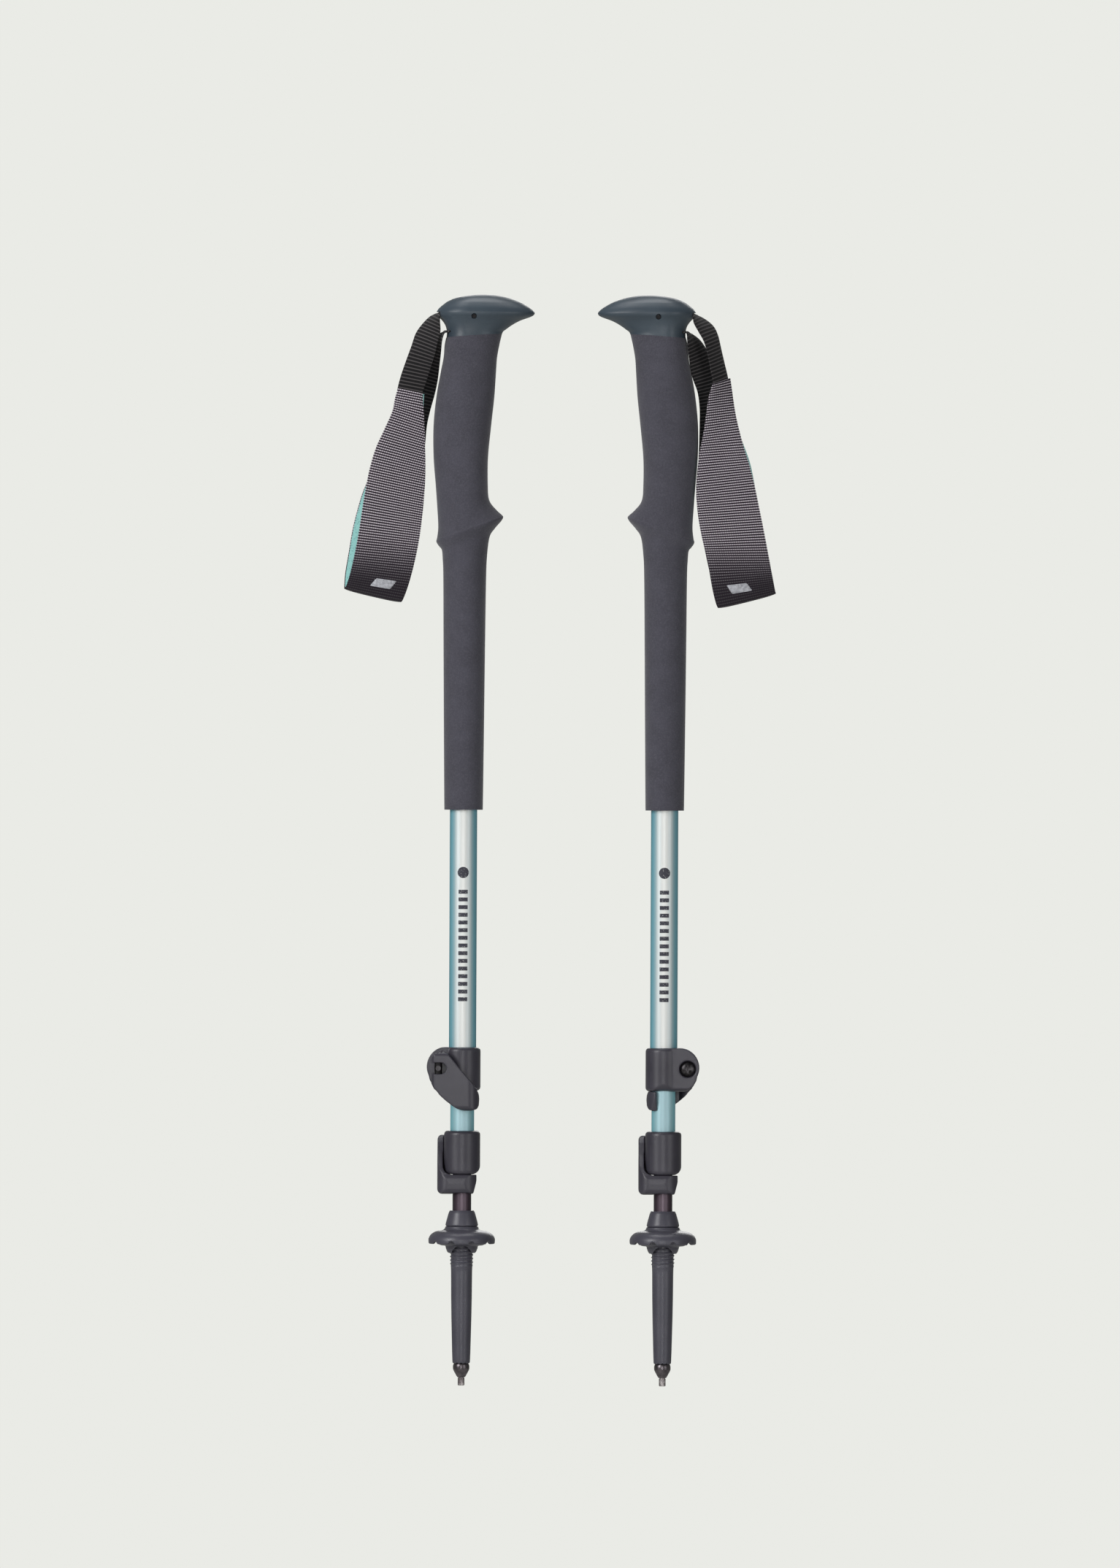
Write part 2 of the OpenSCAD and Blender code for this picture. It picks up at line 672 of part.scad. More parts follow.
module right_tip_ferrule()
    color(dark_steel_colour) lower_half(right) tip_ferrule_shape();
module right_carbide_tip()
    color(steel_colour) lower_half(right) carbide_tip_shape();
module right_basket()
    color(plastic_colour) lower_half(right) basket_shape();

left_grip_head();
left_grip_foam();
left_strap_pin();
left_strap_wedge();
left_strap_tail();
left_strap_webbing();
left_strap_band();
left_strap_lining();
left_strap_patch();
left_upper_tube();
left_upper_collar();
left_upper_lever();
left_upper_screw();
left_upper_barrel_nut();
left_mid_guide();
left_mid_tube();
left_lower_collar();
left_lower_lever();
left_lower_screw();
left_lower_barrel_nut();
left_lower_guide();
left_lower_tube();
left_tip_body();
left_tip_ferrule();
left_carbide_tip();
left_basket();
right_grip_head();
right_grip_foam();
right_strap_pin();
right_strap_wedge();
right_strap_tail();
right_strap_webbing();
right_strap_band();
right_strap_lining();
right_strap_patch();
right_upper_tube();
right_upper_collar();
right_upper_lever();
right_upper_screw();
right_upper_barrel_nut();
right_mid_guide();
right_mid_tube();
right_lower_collar();
right_lower_lever();
right_lower_screw();
right_lower_barrel_nut();
right_lower_guide();
right_lower_tube();
right_tip_body();
right_tip_ferrule();
right_carbide_tip();
right_basket();
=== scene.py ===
import math

import bmesh
import bpy
from mathutils import Matrix, Vector


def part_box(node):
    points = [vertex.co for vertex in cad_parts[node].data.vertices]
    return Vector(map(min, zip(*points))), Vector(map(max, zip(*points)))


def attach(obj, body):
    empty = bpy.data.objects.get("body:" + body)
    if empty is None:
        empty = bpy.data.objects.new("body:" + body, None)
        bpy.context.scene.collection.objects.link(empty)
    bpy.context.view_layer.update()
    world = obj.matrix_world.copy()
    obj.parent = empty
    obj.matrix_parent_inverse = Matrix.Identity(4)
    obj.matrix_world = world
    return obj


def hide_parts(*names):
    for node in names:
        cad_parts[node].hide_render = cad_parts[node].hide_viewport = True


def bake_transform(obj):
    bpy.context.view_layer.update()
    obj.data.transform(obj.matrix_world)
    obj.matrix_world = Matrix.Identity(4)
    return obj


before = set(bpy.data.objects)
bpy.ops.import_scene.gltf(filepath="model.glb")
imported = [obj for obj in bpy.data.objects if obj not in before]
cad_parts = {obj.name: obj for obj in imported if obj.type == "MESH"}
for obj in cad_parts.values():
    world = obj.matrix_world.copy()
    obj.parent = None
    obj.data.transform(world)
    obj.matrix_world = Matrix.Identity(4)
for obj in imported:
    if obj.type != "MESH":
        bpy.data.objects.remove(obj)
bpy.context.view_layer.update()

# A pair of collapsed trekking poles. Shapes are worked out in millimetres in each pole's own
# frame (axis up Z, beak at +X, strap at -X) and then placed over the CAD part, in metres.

MM = 0.001
SIDES = ("left", "right")


def axis_x(side):
    """Where a pole's axis stands on X, in mm."""
    lo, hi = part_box(f"{side}_upper_tube")
    return (lo.x + hi.x) / 2 / MM


def upper_matrix(side):
    """Pole frame to row frame for the grip and the strap; the right pole is turned half round."""
    turn = 0 if side == "left" else math.pi
    move = Matrix.Translation((axis_x(side) * MM, 0, 0))
    return move @ Matrix.Rotation(turn, 4, "Z") @ Matrix.Scale(MM, 4)


def lower_matrix(side):
    """Pole frame to row frame for the round parts of the lower half."""
    move = Matrix.Translation((axis_x(side) * MM, 0, 0))
    return move @ Matrix.Rotation(-math.pi / 2, 4, "Z") @ Matrix.Scale(MM, 4)


# ---------------------------------------------------------------- curves and meshes

def spline(points, per_span):
    """Catmull-Rom curve through the points, per_span samples for each span."""
    ends = [[2 * a - b for a, b in zip(points[0], points[1])],
            [2 * a - b for a, b in zip(points[-1], points[-2])]]
    full = [ends[0]] + [list(p) for p in points] + [ends[1]]
    out = []
    for k in range(1, len(full) - 2):
        p0, p1, p2, p3 = full[k - 1:k + 3]
        for i in range(per_span):
            t = i / per_span
            out.append([
                0.5 * (2 * b + (c - a) * t + (2 * a - 5 * b + 4 * c - d) * t * t
                       + (3 * b - a - 3 * c + d) * t ** 3)
                for a, b, c, d in zip(p0, p1, p2, p3)
            ])
    out.append(list(points[-1]))
    return out


def even_spline(points, step, measure):
    """The same curve, resampled at an even step of the given measure of a sample."""
    fine = spline(points, 24)
    at = [0.0]
    for a, b in zip(fine, fine[1:]):
        at.append(at[-1] + measure(a, b))
    count = max(2, round(at[-1] / step))
    out, k = [], 0
    for i in range(count + 1):
        want = at[-1] * i / count
        while k < len(at) - 2 and at[k + 1] < want:
            k += 1
        f = (want - at[k]) / max(at[k + 1] - at[k], 1e-9)
        out.append([a + (b - a) * min(max(f, 0), 1) for a, b in zip(fine[k], fine[k + 1])])
    return out, at[-1]


def new_object(name, verts, faces, matrix):
    """A smooth-shaded mesh object, with its points placed by the matrix and its faces turned outward."""
    mesh = bpy.data.meshes.new(name)
    mesh.from_pydata([tuple(v) for v in verts], [], faces)
    mesh.transform(matrix)
    obj = bpy.data.objects.new(name, mesh)
    bpy.context.scene.collection.objects.link(obj)
    bm = bmesh.new()
    bm.from_mesh(mesh)
    bmesh.ops.recalc_face_normals(bm, faces=bm.faces)
    bm.to_mesh(mesh)
    bm.free()
    for p in mesh.polygons:
        p.use_smooth = True
    return obj


def skin(rings, close_ends=True):
    """Vertices and faces of a solid through closed rings of equal length."""
    n = len(rings[0])
    verts = [p for r in rings for p in r]
    faces = []
    for k in range(len(rings) - 1):
        for i in range(n):
            j = (i + 1) % n
            faces.append((k * n + i, k * n + j, (k + 1) * n + j, (k + 1) * n + i))
    if close_ends:
        faces.append(tuple(range(n - 1, -1, -1)))
        last = (len(rings) - 1) * n
        faces.append(tuple(range(last, last + n)))
    return verts, faces


def apply_modifiers(obj):
    """Bakes an object's modifiers into its mesh."""
    dg = bpy.context.evaluated_depsgraph_get()
    mesh = bpy.data.meshes.new_from_object(obj.evaluated_get(dg))
    obj.modifiers.clear()
    obj.data = mesh
    for p in mesh.polygons:
        p.use_smooth = True
    return obj


def cut(obj, *cutters):
    """Cuts closed cutters out of an object and removes them."""
    for c in cutters:
        m = obj.modifiers.new("cut", "BOOLEAN")
        m.operation = "DIFFERENCE"
        m.solver = "EXACT"
        m.object = c
        apply_modifiers(obj)
        bpy.data.objects.remove(c)
    return obj


def soft_edges(obj, angle=35):
    """Smooth shading, but with a crisp crease where faces meet sharply."""
    bm = bmesh.new()
    bm.from_mesh(obj.data)
    for e in bm.edges:
        e.smooth = len(e.link_faces) == 2 and e.calc_face_angle(0) < math.radians(angle)
    bm.to_mesh(obj.data)
    bm.free()
    return obj


def lathe(name, profile, matrix, segments, shape=None):
    """Turned piece from a profile of (radius, z), which is a closed loop if it ends where it starts.

    shape may move a point: (r, z, angle) -> (r, z).
    """
    rings = []
    for r, z in profile:
        ring = []
        for i in range(segments):
            a = 2 * math.pi * i / segments
            rr, zz = shape(r, z, a) if shape else (r, z)
            ring.append((rr * math.cos(a), rr * math.sin(a), zz))
        rings.append(ring)
    closed = profile[0] == profile[-1]
    verts, faces = skin(rings[:-1] if closed else rings, close_ends=not closed)
    if closed:
        n, last = segments, (len(rings) - 2) * segments
        faces += [(last + i, last + (i + 1) % n, (i + 1) % n, i) for i in range(n)]
    return soft_edges(new_object(name, verts, faces, matrix))


def rounded(profile, radius, steps=5):
    """Rounds the corners of an open polyline of (r, z)."""
    out = [profile[0]]
    for a, b, c in zip(profile, profile[1:], profile[2:]):
        va = Vector(a) - Vector(b)
        vc = Vector(c) - Vector(b)
        cut_len = min(radius, va.length * 0.45, vc.length * 0.45)
        p, q = Vector(b) + va.normalized() * cut_len, Vector(b) + vc.normalized() * cut_len
        for i in range(steps + 1):
            t = i / steps
            out.append(tuple(p * (1 - t) ** 2 + Vector(b) * 2 * t * (1 - t) + q * t * t))
    out.append(profile[-1])
    return out


LIFT = 0.42         # how far a face is brought back up
LIFT_REACH = 2.4    # how far above and below that face the lift fades out


def moulded(name, node, voxel, passes, body, lift_at=None):
    """A moulded piece: the CAD node's form with its edges and corners softly rounded.

    lift_at is the height of a face that the rounding drew away from its neighbour above, in mm.
    """
    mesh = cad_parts[node].data.copy()
    obj = bpy.data.objects.new(name, mesh)
    bpy.context.scene.collection.objects.link(obj)
    bm = bmesh.new()
    bm.from_mesh(mesh)
    bmesh.ops.remove_doubles(bm, verts=bm.verts, dist=1e-6)
    bm.to_mesh(mesh)
    bm.free()
    remesh = obj.modifiers.new("remesh", "REMESH")
    remesh.mode = "VOXEL"
    remesh.voxel_size = voxel * MM
    relax = obj.modifiers.new("relax", "SMOOTH")
    relax.factor = 0.5
    relax.iterations = passes
    apply_modifiers(obj)
    if lift_at is not None:
        for v in obj.data.vertices:
            near = max(0.0, 1 - abs(v.co.z / MM - lift_at) / LIFT_REACH)
            v.co.z += LIFT * MM * near * near * (3 - 2 * near)
    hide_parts(node)
    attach(obj, body)
    return obj


# ---------------------------------------------------------------- materials

def srgb(r, g, b):
    """An 8-bit colour as a linear one."""
    def lin(c):
        c /= 255
        return c / 12.92 if c <= 0.04045 else ((c + 0.055) / 1.055) ** 2.4
    return (lin(r), lin(g), lin(b), 1)


class Nodes:
    """Short names for building a node material."""

    def __init__(self, name):
        self.mat = bpy.data.materials.new(name)
        self.mat.use_nodes = True
        self.tree = self.mat.node_tree
        self.bsdf = self.tree.nodes["Principled BSDF"]

    def add(self, kind, **values):
        node = self.tree.nodes.new(kind)
        for key, value in values.items():
            setattr(node, key, value)
        return node

    def link(self, a, b):
        self.tree.links.new(a, b)

    def put(self, socket, value):
        if isinstance(value, bpy.types.NodeSocket):
            self.link(value, socket)
        else:
            socket.default_value = value

    def math(self, op, a, b=0.0, c=0.0):
        node = self.add("ShaderNodeMath", operation=op)
        for socket, value in zip(node.inputs, (a, b, c)):
            self.put(socket, value)
        return node.outputs[0]

    def ramp(self, value, low, high):
        """0 below low and 1 above high, with a smooth step between them."""
        node = self.add("ShaderNodeMapRange", interpolation_type="SMOOTHSTEP")
        self.put(node.inputs["Value"], value)
        self.put(node.inputs["From Min"], low)
        self.put(node.inputs["From Max"], high)
        return node.outputs["Result"]

    def mix(self, factor, a, b):
        node = self.add("ShaderNodeMix", data_type="RGBA")
        self.put(node.inputs["Factor"], factor)
        self.put(node.inputs["A"], a)
        self.put(node.inputs["B"], b)
        return node.outputs["Result"]

    def object_mm(self):
        """The place on the piece, in mm."""
        coord = self.add("ShaderNodeTexCoord")
        scale = self.add("ShaderNodeVectorMath", operation="SCALE")
        self.link(coord.outputs["Object"], scale.inputs[0])
        scale.inputs["Scale"].default_value = 1 / MM
        return scale.outputs[0]

    def split(self, vector):
        node = self.add("ShaderNodeSeparateXYZ")
        self.link(vector, node.inputs[0])
        return node.outputs

    def noise(self, vector, scale, detail=2.0, rough=0.5):
        node = self.add("ShaderNodeTexNoise")
        self.link(vector, node.inputs["Vector"])
        node.inputs["Scale"].default_value = scale
        node.inputs["Detail"].default_value = detail
        node.inputs["Roughness"].default_value = rough
        return node.outputs["Fac"]

    def cells(self, vector, scale):
        node = self.add("ShaderNodeTexVoronoi")
        self.link(vector, node.inputs["Vector"])
        node.inputs["Scale"].default_value = scale
        return node.outputs["Distance"]

    def stretch(self, vector, x, y, z):
        node = self.add("ShaderNodeVectorMath", operation="MULTIPLY")
        self.link(vector, node.inputs[0])
        node.inputs[1].default_value = (x, y, z)
        return node.outputs[0]

    def bump(self, height, distance, strength):
        """A normal from a height field, distance mm deep."""
        node = self.add("ShaderNodeBump")
        self.link(height, node.inputs["Height"])
        node.inputs["Distance"].default_value = distance * MM
        node.inputs["Strength"].default_value = strength
        return node.outputs["Normal"]

    def worn_edges(self):
        """1 on sharp outside edges, which handling wears pale."""
        return self.ramp(self.add("ShaderNodeNewGeometry").outputs["Pointiness"], 0.52, 0.62)

    def finish(self, colour, rough, metallic=0.0, normal=None, **extra):
        """Fills in the shader and returns the material."""
        self.put(self.bsdf.inputs["Base Color"], colour)
        self.put(self.bsdf.inputs["Roughness"], rough)
        self.put(self.bsdf.inputs["Metallic"], metallic)
        if normal:
            self.link(normal, self.bsdf.inputs["Normal"])
        for key, value in extra.items():
            self.put(self.bsdf.inputs[key.replace("_", " ")], value)
        return self.mat


def moulded_plastic(name, base, pale, rough, grain=3.0, grain_depth=0.05):
    """Moulded plastic: spark-eroded grain, faint flow marks and paler, worn edges."""
    n = Nodes(name)
    at = n.object_mm()
    cloud = n.noise(at, 0.05, 3)
    body = n.mix(n.math("MULTIPLY", n.ramp(cloud, 0.3, 0.75), 0.3), base, pale)
    body = n.mix(n.math("MULTIPLY", n.worn_edges(), 0.3), body, pale)
    fine = n.noise(at, grain, 4, 0.6)
    roughness = n.math("ADD", n.math("MULTIPLY", fine, 0.14), rough - 0.07)
    normal = n.bump(fine, grain_depth, 0.6)
    return n.finish(body, roughness, normal=normal, Specular_IOR_Level=0.5)


def foam_material():
    """Closed-cell foam: fine cells, a soft mottle and a dusty sheen."""
    n = Nodes("foam")
    at = n.object_mm()
    mottle = n.noise(at, 0.09, 4, 0.55)
    speck = n.noise(at, 1.1, 4, 0.75)
    body = n.mix(n.ramp(mottle, 0.25, 0.75), srgb(66, 65, 74), srgb(73, 72, 82))
    body = n.mix(n.math("MULTIPLY", n.ramp(speck, 0.4, 0.75), 0.5), body, srgb(98, 97, 107))
    cells = n.cells(at, 1.9)
    height = n.math("ADD", n.math("MULTIPLY", cells, 0.6), speck)
    normal = n.bump(height, 0.16, 0.8)
    return n.finish(body, 0.86, normal=normal, Specular_IOR_Level=0.22,
                    Sheen_Weight=0.25, Sheen_Roughness=0.5)


def anodised(name, stops, rough, metallic, decal=None):
    """Anodised aluminium tube, drawn along its length. stops are colours from face-on (0) to edge-on (1): a
    painted reflection of a frontal lamp in the middle of the tube, fading to painted shade at its edges.
    """
    n = Nodes(name)
    at = n.object_mm()
    facing = n.add("ShaderNodeLayerWeight")
    facing.inputs["Blend"].default_value = 0.5
    drawn = n.noise(n.stretch(at, 5, 5, 0.03), 1.0, 3, 0.6)
    ramp = n.add("ShaderNodeValToRGB")
    ramp.color_ramp.interpolation = "EASE"
    while len(ramp.color_ramp.elements) < len(stops):
        ramp.color_ramp.elements.new(0.5)
    for element, (place, colour) in zip(ramp.color_ramp.elements, stops):
        element.position = place
        element.color = srgb(*colour)
    streak = n.math("MULTIPLY", n.math("SUBTRACT", drawn, 0.5), 0.06)
    # The tube's colour follows the view angle: painted highlight where it faces the camera, painted shade
    # where it turns away.
    n.link(n.math("ADD", facing.outputs["Facing"], streak), ramp.inputs["Fac"])
    colour = ramp.outputs["Color"]
    roughness = n.math("ADD", n.math("MULTIPLY", drawn, 0.12), rough - 0.05)
    if decal:
        print_mask = decal(n, at)
        scuff = n.ramp(n.noise(at, 2.2, 3), 0.62, 0.72)
        print_mask = n.math("MULTIPLY", print_mask, n.math("SUBTRACT", 1.0, scuff))
        colour = n.mix(print_mask, colour, srgb(60, 60, 70))
        roughness = n.math("ADD", roughness, n.math("MULTIPLY", print_mask, 0.2))
        metallic = n.math("MULTIPLY", n.math("SUBTRACT", 1.0, print_mask), metallic)
    normal = n.bump(drawn, 0.01, 0.4)
    return n.finish(colour, roughness, metallic, normal, Specular_IOR_Level=0.3)


# The maker's print is replaced by a plain dot over a column of short dashes, like a gauge.
DOT_Z, DOT_R = 301.0, 3.3
DASH_LOW, DASH_HIGH, DASH_STEP, DASH_HALF_W = 225.5, 293.0, 4.5, 2.7
DASH_FILL = 0.52


def gauge_decal(centre_x):
    def mask(n, at):
        x, y, z = n.split(at)
        dx = n.math("SUBTRACT", x, centre_x)
        front = n.math("LESS_THAN", y, 0.0)
        dz = n.math("SUBTRACT", z, DOT_Z)
        reach = n.math("SQRT", n.math("ADD", n.math("MULTIPLY", dx, dx), n.math("MULTIPLY", dz, dz)))
        dot = n.math("LESS_THAN", reach, DOT_R)
        inside = n.math("MULTIPLY", n.math("GREATER_THAN", z, DASH_LOW), n.math("LESS_THAN", z, DASH_HIGH))
        phase = n.math("FRACT", n.math("DIVIDE", n.math("SUBTRACT", z, DASH_LOW), DASH_STEP))
        narrow = n.math("LESS_THAN", n.math("ABSOLUTE", dx), DASH_HALF_W)
        dash = n.math("MULTIPLY", n.math("MULTIPLY", inside, narrow), n.math("LESS_THAN", phase, DASH_FILL))
        return n.math("MULTIPLY", front, n.math("MAXIMUM", dot, dash))
    return mask


WEB_RIB = 2.05      # rib spacing of the webbing
BAND_RIB = 1.47     # stripe spacing of the band
BEAD = 1.3          # spacing of the thread beads along a stripe


def strap_uv(n):
    """Distance across and along a strap, in mm."""
    uv = n.add("ShaderNodeUVMap", uv_map="strap_mm")
    return uv.outputs[0], n.split(uv.outputs[0])


def webbing_material():
    """Black ribbed webbing, with grey weft threads showing on each rib."""
    n = Nodes("webbing")
    uv, (u, v, _) = strap_uv(n)
    wave = n.math("SINE", n.math("MULTIPLY", v, 2 * math.pi / WEB_RIB))
    rib = n.ramp(wave, 0.1, 0.9)
    thread = n.math("SINE", n.math("MULTIPLY", u, 2 * math.pi / 0.55))
    fray = n.noise(uv, 3.5, 3, 0.7)
    pale = n.math("MULTIPLY", rib, n.math("ADD", 0.55, n.math("MULTIPLY", fray, 0.7)))
    colour = n.mix(n.math("MULTIPLY", pale, 0.62), srgb(22, 21, 23), srgb(98, 94, 95))
    height = n.math("ADD", n.math("MULTIPLY", wave, 0.5), n.math("MULTIPLY", thread, 0.25))
    normal = n.bump(n.math("ADD", height, fray), 0.14, 0.6)
    return n.finish(colour, 0.8, normal=normal, Specular_IOR_Level=0.22,
                    Sheen_Weight=0.15, Sheen_Roughness=0.4)


def band_material():
    """Striped band: pale weft on a dark ground, fading to dark near the fold."""
    n = Nodes("band")
    uv, (u, v, _) = strap_uv(n)
    wave = n.math("SINE", n.math("MULTIPLY", v, 2 * math.pi / BAND_RIB))
    stripe = n.ramp(wave, -0.15, 0.55)
    bead = n.math("SINE", n.math("MULTIPLY", u, 2 * math.pi / BEAD))
    fray = n.noise(uv, 2.4, 3, 0.75)
    level = n.math("ADD", n.math("MULTIPLY", fray, 0.7), n.math("MULTIPLY", bead, 0.17))
    pale = n.mix(n.ramp(level, 0.15, 0.7), srgb(132, 124, 134), srgb(228, 220, 228))
    dim = n.mix(n.ramp(level, 0.2, 0.6), srgb(40, 37, 41), srgb(66, 63, 68))
    away = n.ramp(n.math("ABSOLUTE", v), 7.0, 44.0)
    pale = n.mix(away, dim, pale)
    colour = n.mix(stripe, srgb(30, 22, 32), pale)
    height = n.math("ADD", n.math("MULTIPLY", wave, 0.6), n.math("MULTIPLY", bead, 0.2))
    normal = n.bump(n.math("ADD", height, n.math("MULTIPLY", fray, 0.5)), 0.14, 0.7)
    return n.finish(colour, 0.82, normal=normal, Specular_IOR_Level=0.25,
                    Sheen_Weight=0.15, Sheen_Roughness=0.4)


def lining_material():
    """Mint lining: a soft knit with small eyelets."""
    n = Nodes("lining")
    at = n.object_mm()
    eyelet = n.ramp(n.cells(at, 0.85), 0.12, 0.42)
    fuzz = n.noise(at, 3.0, 3, 0.7)
    colour = n.mix(eyelet, srgb(120, 180, 178), srgb(158, 214, 211))
    colour = n.mix(n.math("MULTIPLY", fuzz, 0.3), colour, srgb(178, 226, 223))
    normal = n.bump(n.math("ADD", eyelet, fuzz), 0.2, 0.8)
    return n.finish(colour, 0.88, normal=normal, Sheen_Weight=0.4, Sheen_Roughness=0.5)


def reflective_material():
    """Silver reflective film with a fine hatch pressed into it."""
    n = Nodes("reflective")
    at = n.object_mm()
    x, y, z = n.split(at)
    hatch = n.math("SINE", n.math("MULTIPLY", n.math("ADD", x, z), 9.0))
    cloud = n.noise(at, 0.6, 3)
    colour = n.mix(n.ramp(cloud, 0.3, 0.7), srgb(140, 141, 148), srgb(186, 187, 194))
    normal = n.bump(hatch, 0.03, 0.5)
    return n.finish(colour, 0.42, 0.35, normal)


def metal_material(name, dark, light, rough, scratch=(8, 8, 0.4)):
    """Turned or ground metal with fine tool marks and brighter edges."""
    n = Nodes(name)
    at = n.object_mm()
    marks = n.noise(n.stretch(at, *scratch), 1.0, 4, 0.65)
    stain = n.noise(at, 0.35, 3)
    colour = n.mix(n.ramp(stain, 0.3, 0.75), dark, light)
    colour = n.mix(n.math("MULTIPLY", n.worn_edges(), 0.5), colour, light)
    roughness = n.math("ADD", n.math("MULTIPLY", marks, 0.2), rough - 0.1)
    normal = n.bump(marks, 0.03, 0.5)
    return n.finish(colour, roughness, 0.9, normal)


HEAD = moulded_plastic("head", srgb(55, 66, 76), srgb(77, 90, 101), 0.42, 2.6, 0.06)
FOAM = foam_material()
LOCK = moulded_plastic("lock_plastic", srgb(54, 52, 61), srgb(80, 78, 88), 0.37, 3.2)
TIP = moulded_plastic("tip_plastic", srgb(68, 67, 77), srgb(92, 91, 101), 0.36, 2.4, 0.07)
GUIDE = moulded_plastic("guide", srgb(205, 205, 198), srgb(226, 226, 220), 0.45)

# Colours of the tubes, from the middle of a tube (0) to its edge (1): the pale middle is a painted
# reflection of a frontal lamp, and the darker edges are painted shade
TEAL = [(0.0, (226, 228, 226)), (0.06, (206, 213, 214)), (0.14, (190, 202, 204)), (0.26, (152, 187, 196)),
        (0.42, (122, 178, 193)), (0.75, (96, 157, 172))]
PALE_TEAL = [(0.0, (168, 200, 208)), (0.2, (156, 195, 203)), (0.5, (132, 190, 201)), (0.8, (120, 180, 192))]
PLUM = [(0.0, (122, 108, 119)), (0.02, (96, 83, 93)), (0.1, (76, 63, 73)), (0.4, (60, 50, 58)),
        (0.8, (42, 37, 44))]

MID_TUBE = anodised("mid_tube", PALE_TEAL, 0.4, 0.25)
LOWER_TUBE = anodised("lower_tube", PLUM, 0.3, 0.3)
UPPER_TUBE = {s: anodised(f"upper_tube_{s}", TEAL, 0.4, 0.25, gauge_decal(axis_x(s))) for s in SIDES}
WEBBING = webbing_material()
BAND = band_material()
LINING = lining_material()
REFLECTIVE = reflective_material()
DARK_STEEL = metal_material("dark_steel", srgb(86, 81, 85), srgb(118, 112, 116), 0.3, (4, 4, 4))
BLACK_STEEL = metal_material("black_steel", srgb(42, 40, 42), srgb(84, 82, 84), 0.34, (5, 5, 5))
# Near-black steel for the strap pin and the barrel nuts: partly their real black finish, partly painted
# shade of the hole and the slot that they sit in.
BLACK_AND_SHADED_STEEL = metal_material("black_and_shaded_steel", srgb(20, 19, 20), srgb(44, 43, 44), 0.45, (5, 5, 5))
CARBIDE = metal_material("carbide", srgb(104, 96, 98), srgb(178, 172, 172), 0.38, (9, 9, 0.3))


def dress(obj, material):
    """Gives an object its one material."""
    obj.data.materials.clear()
    obj.data.materials.append(material)
    return obj


def stand_in_for(obj, node, body, material):
    """A new piece that shows in place of a CAD node, on that node's body."""
    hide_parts(node)
    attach(obj, body)
    return dress(obj, material)


def repaint(node, material):
    """Gives a CAD node that stays visible its material."""
    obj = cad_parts[node]
    obj.data.materials.clear()
    obj.data.materials.append(material)


# ---------------------------------------------------------------- grip

EGG_N = 96
WIDEST_X = 1.0

# Rings of the grip from the top down: rear x, front x, half width, z at the axis, slope
HEAD_ROWS = [
    (8.6, 11.4, 0.9, 640, 0), (4.2, 17.0, 4.6, 639.7, 0), (-1.2, 21.6, 8.2, 639.0, 0),
    (-6.2, 25.9, 11.0, 637.9, 0), (-10.5, 31.2, 13.6, 636.0, 0), (-13.3, 35.0, 15.2, 634.0, 0),
    (-15.6, 38.1, 16.4, 632.0, 0), (-16.9, 40.0, 17.0, 630.2, 0), (-17.1, 40.5, 17.1, 629.2, 0),
    (-16.8, 39.8, 16.8, 628.0, 0), (-16.1, 38.0, 16.1, 627.0, 0), (-15.1, 35.2, 15.4, 626.0, 0),
    (-14.0, 32.2, 14.8, 624.9, 0), (-12.9, 29.4, 14.3, 623.5, 0), (-11.9, 26.6, 13.9, 621.8, 0),
    (-11.2, 23.9, 13.6, 619.6, 0.01), (-11.0, 22.1, 13.5, 617.6, 0.04), (-11.2, 21.4, 13.5, 615.59, 0.07),
]
FOAM_ROWS = [
    (-11.2, 21.3, 13.45, 615.58, 0.07), (-11.5, 21.2, 13.6, 615.1, 0.07), (-12.3, 19.9, 13.7, 610.5, 0.02),
    (-12.9, 18.5, 13.7, 603, 0), (-14.6, 17.9, 13.9, 594, 0), (-17, 17, 14.2, 580, 0),
    (-18.6, 15.2, 14.5, 563, 0), (-18.5, 13.5, 14.5, 545, 0), (-17.2, 13.4, 14.2, 529, 0.03),
    (-16.2, 14.2, 14.2, 517.5, 0.16), (-15.6, 18.2, 14.5, 508.6, 0.3), (-16.2, 21.8, 15.0, 503.1, 0.35),
    (-16.7, 22.5, 15.7, 501.4, 0.352), (-16.3, 21.2, 15.3, 499.7, 0.345),
    (-14.9, 17.6, 13.9, 497.0, 0.33), (-13.4, 14.6, 12.9, 493.8, 0.28), (-12.9, 13.2, 12.8, 486, 0.1),
    (-12.5, 12.65, 12.6, 474, 0), (-12.2, 12.2, 12.2, 434, 0), (-11.8, 11.8, 11.8, 387, 0),
    (-11.35, 11.35, 11.35, 341.5, 0), (-11.2, 11.2, 11.2, 340.1, 0), (-10.8, 10.8, 10.8, 339.25, 0),
    (-10.2, 10.2, 10.2, 339, 0),
]


def egg_rings(rows, per_span):
    """Rings of the grip: half an ellipse to the rear and half an ellipse to the front of each one."""
    rings = []
    for rear, front, half, z, slope in spline(rows, per_span):
        ring = []
        widest = max(WIDEST_X, (2 * rear + front) / 3)
        for i in range(EGG_N):
            a = 2 * math.pi * i / EGG_N
            reach = front - widest if math.cos(a) > 0 else widest - rear
            x = widest + reach * math.cos(a)
            ring.append((x, half * math.sin(a), z + slope * x))
        rings.append(ring)
    return rings


def circle(r, z, slope=0.0):
    """A round ring with as many points as the grip's rings."""
    turns = [2 * math.pi * i / EGG_N for i in range(EGG_N)]
    return [(r * math.cos(a), r * math.sin(a), z + slope * r * math.cos(a)) for a in turns]


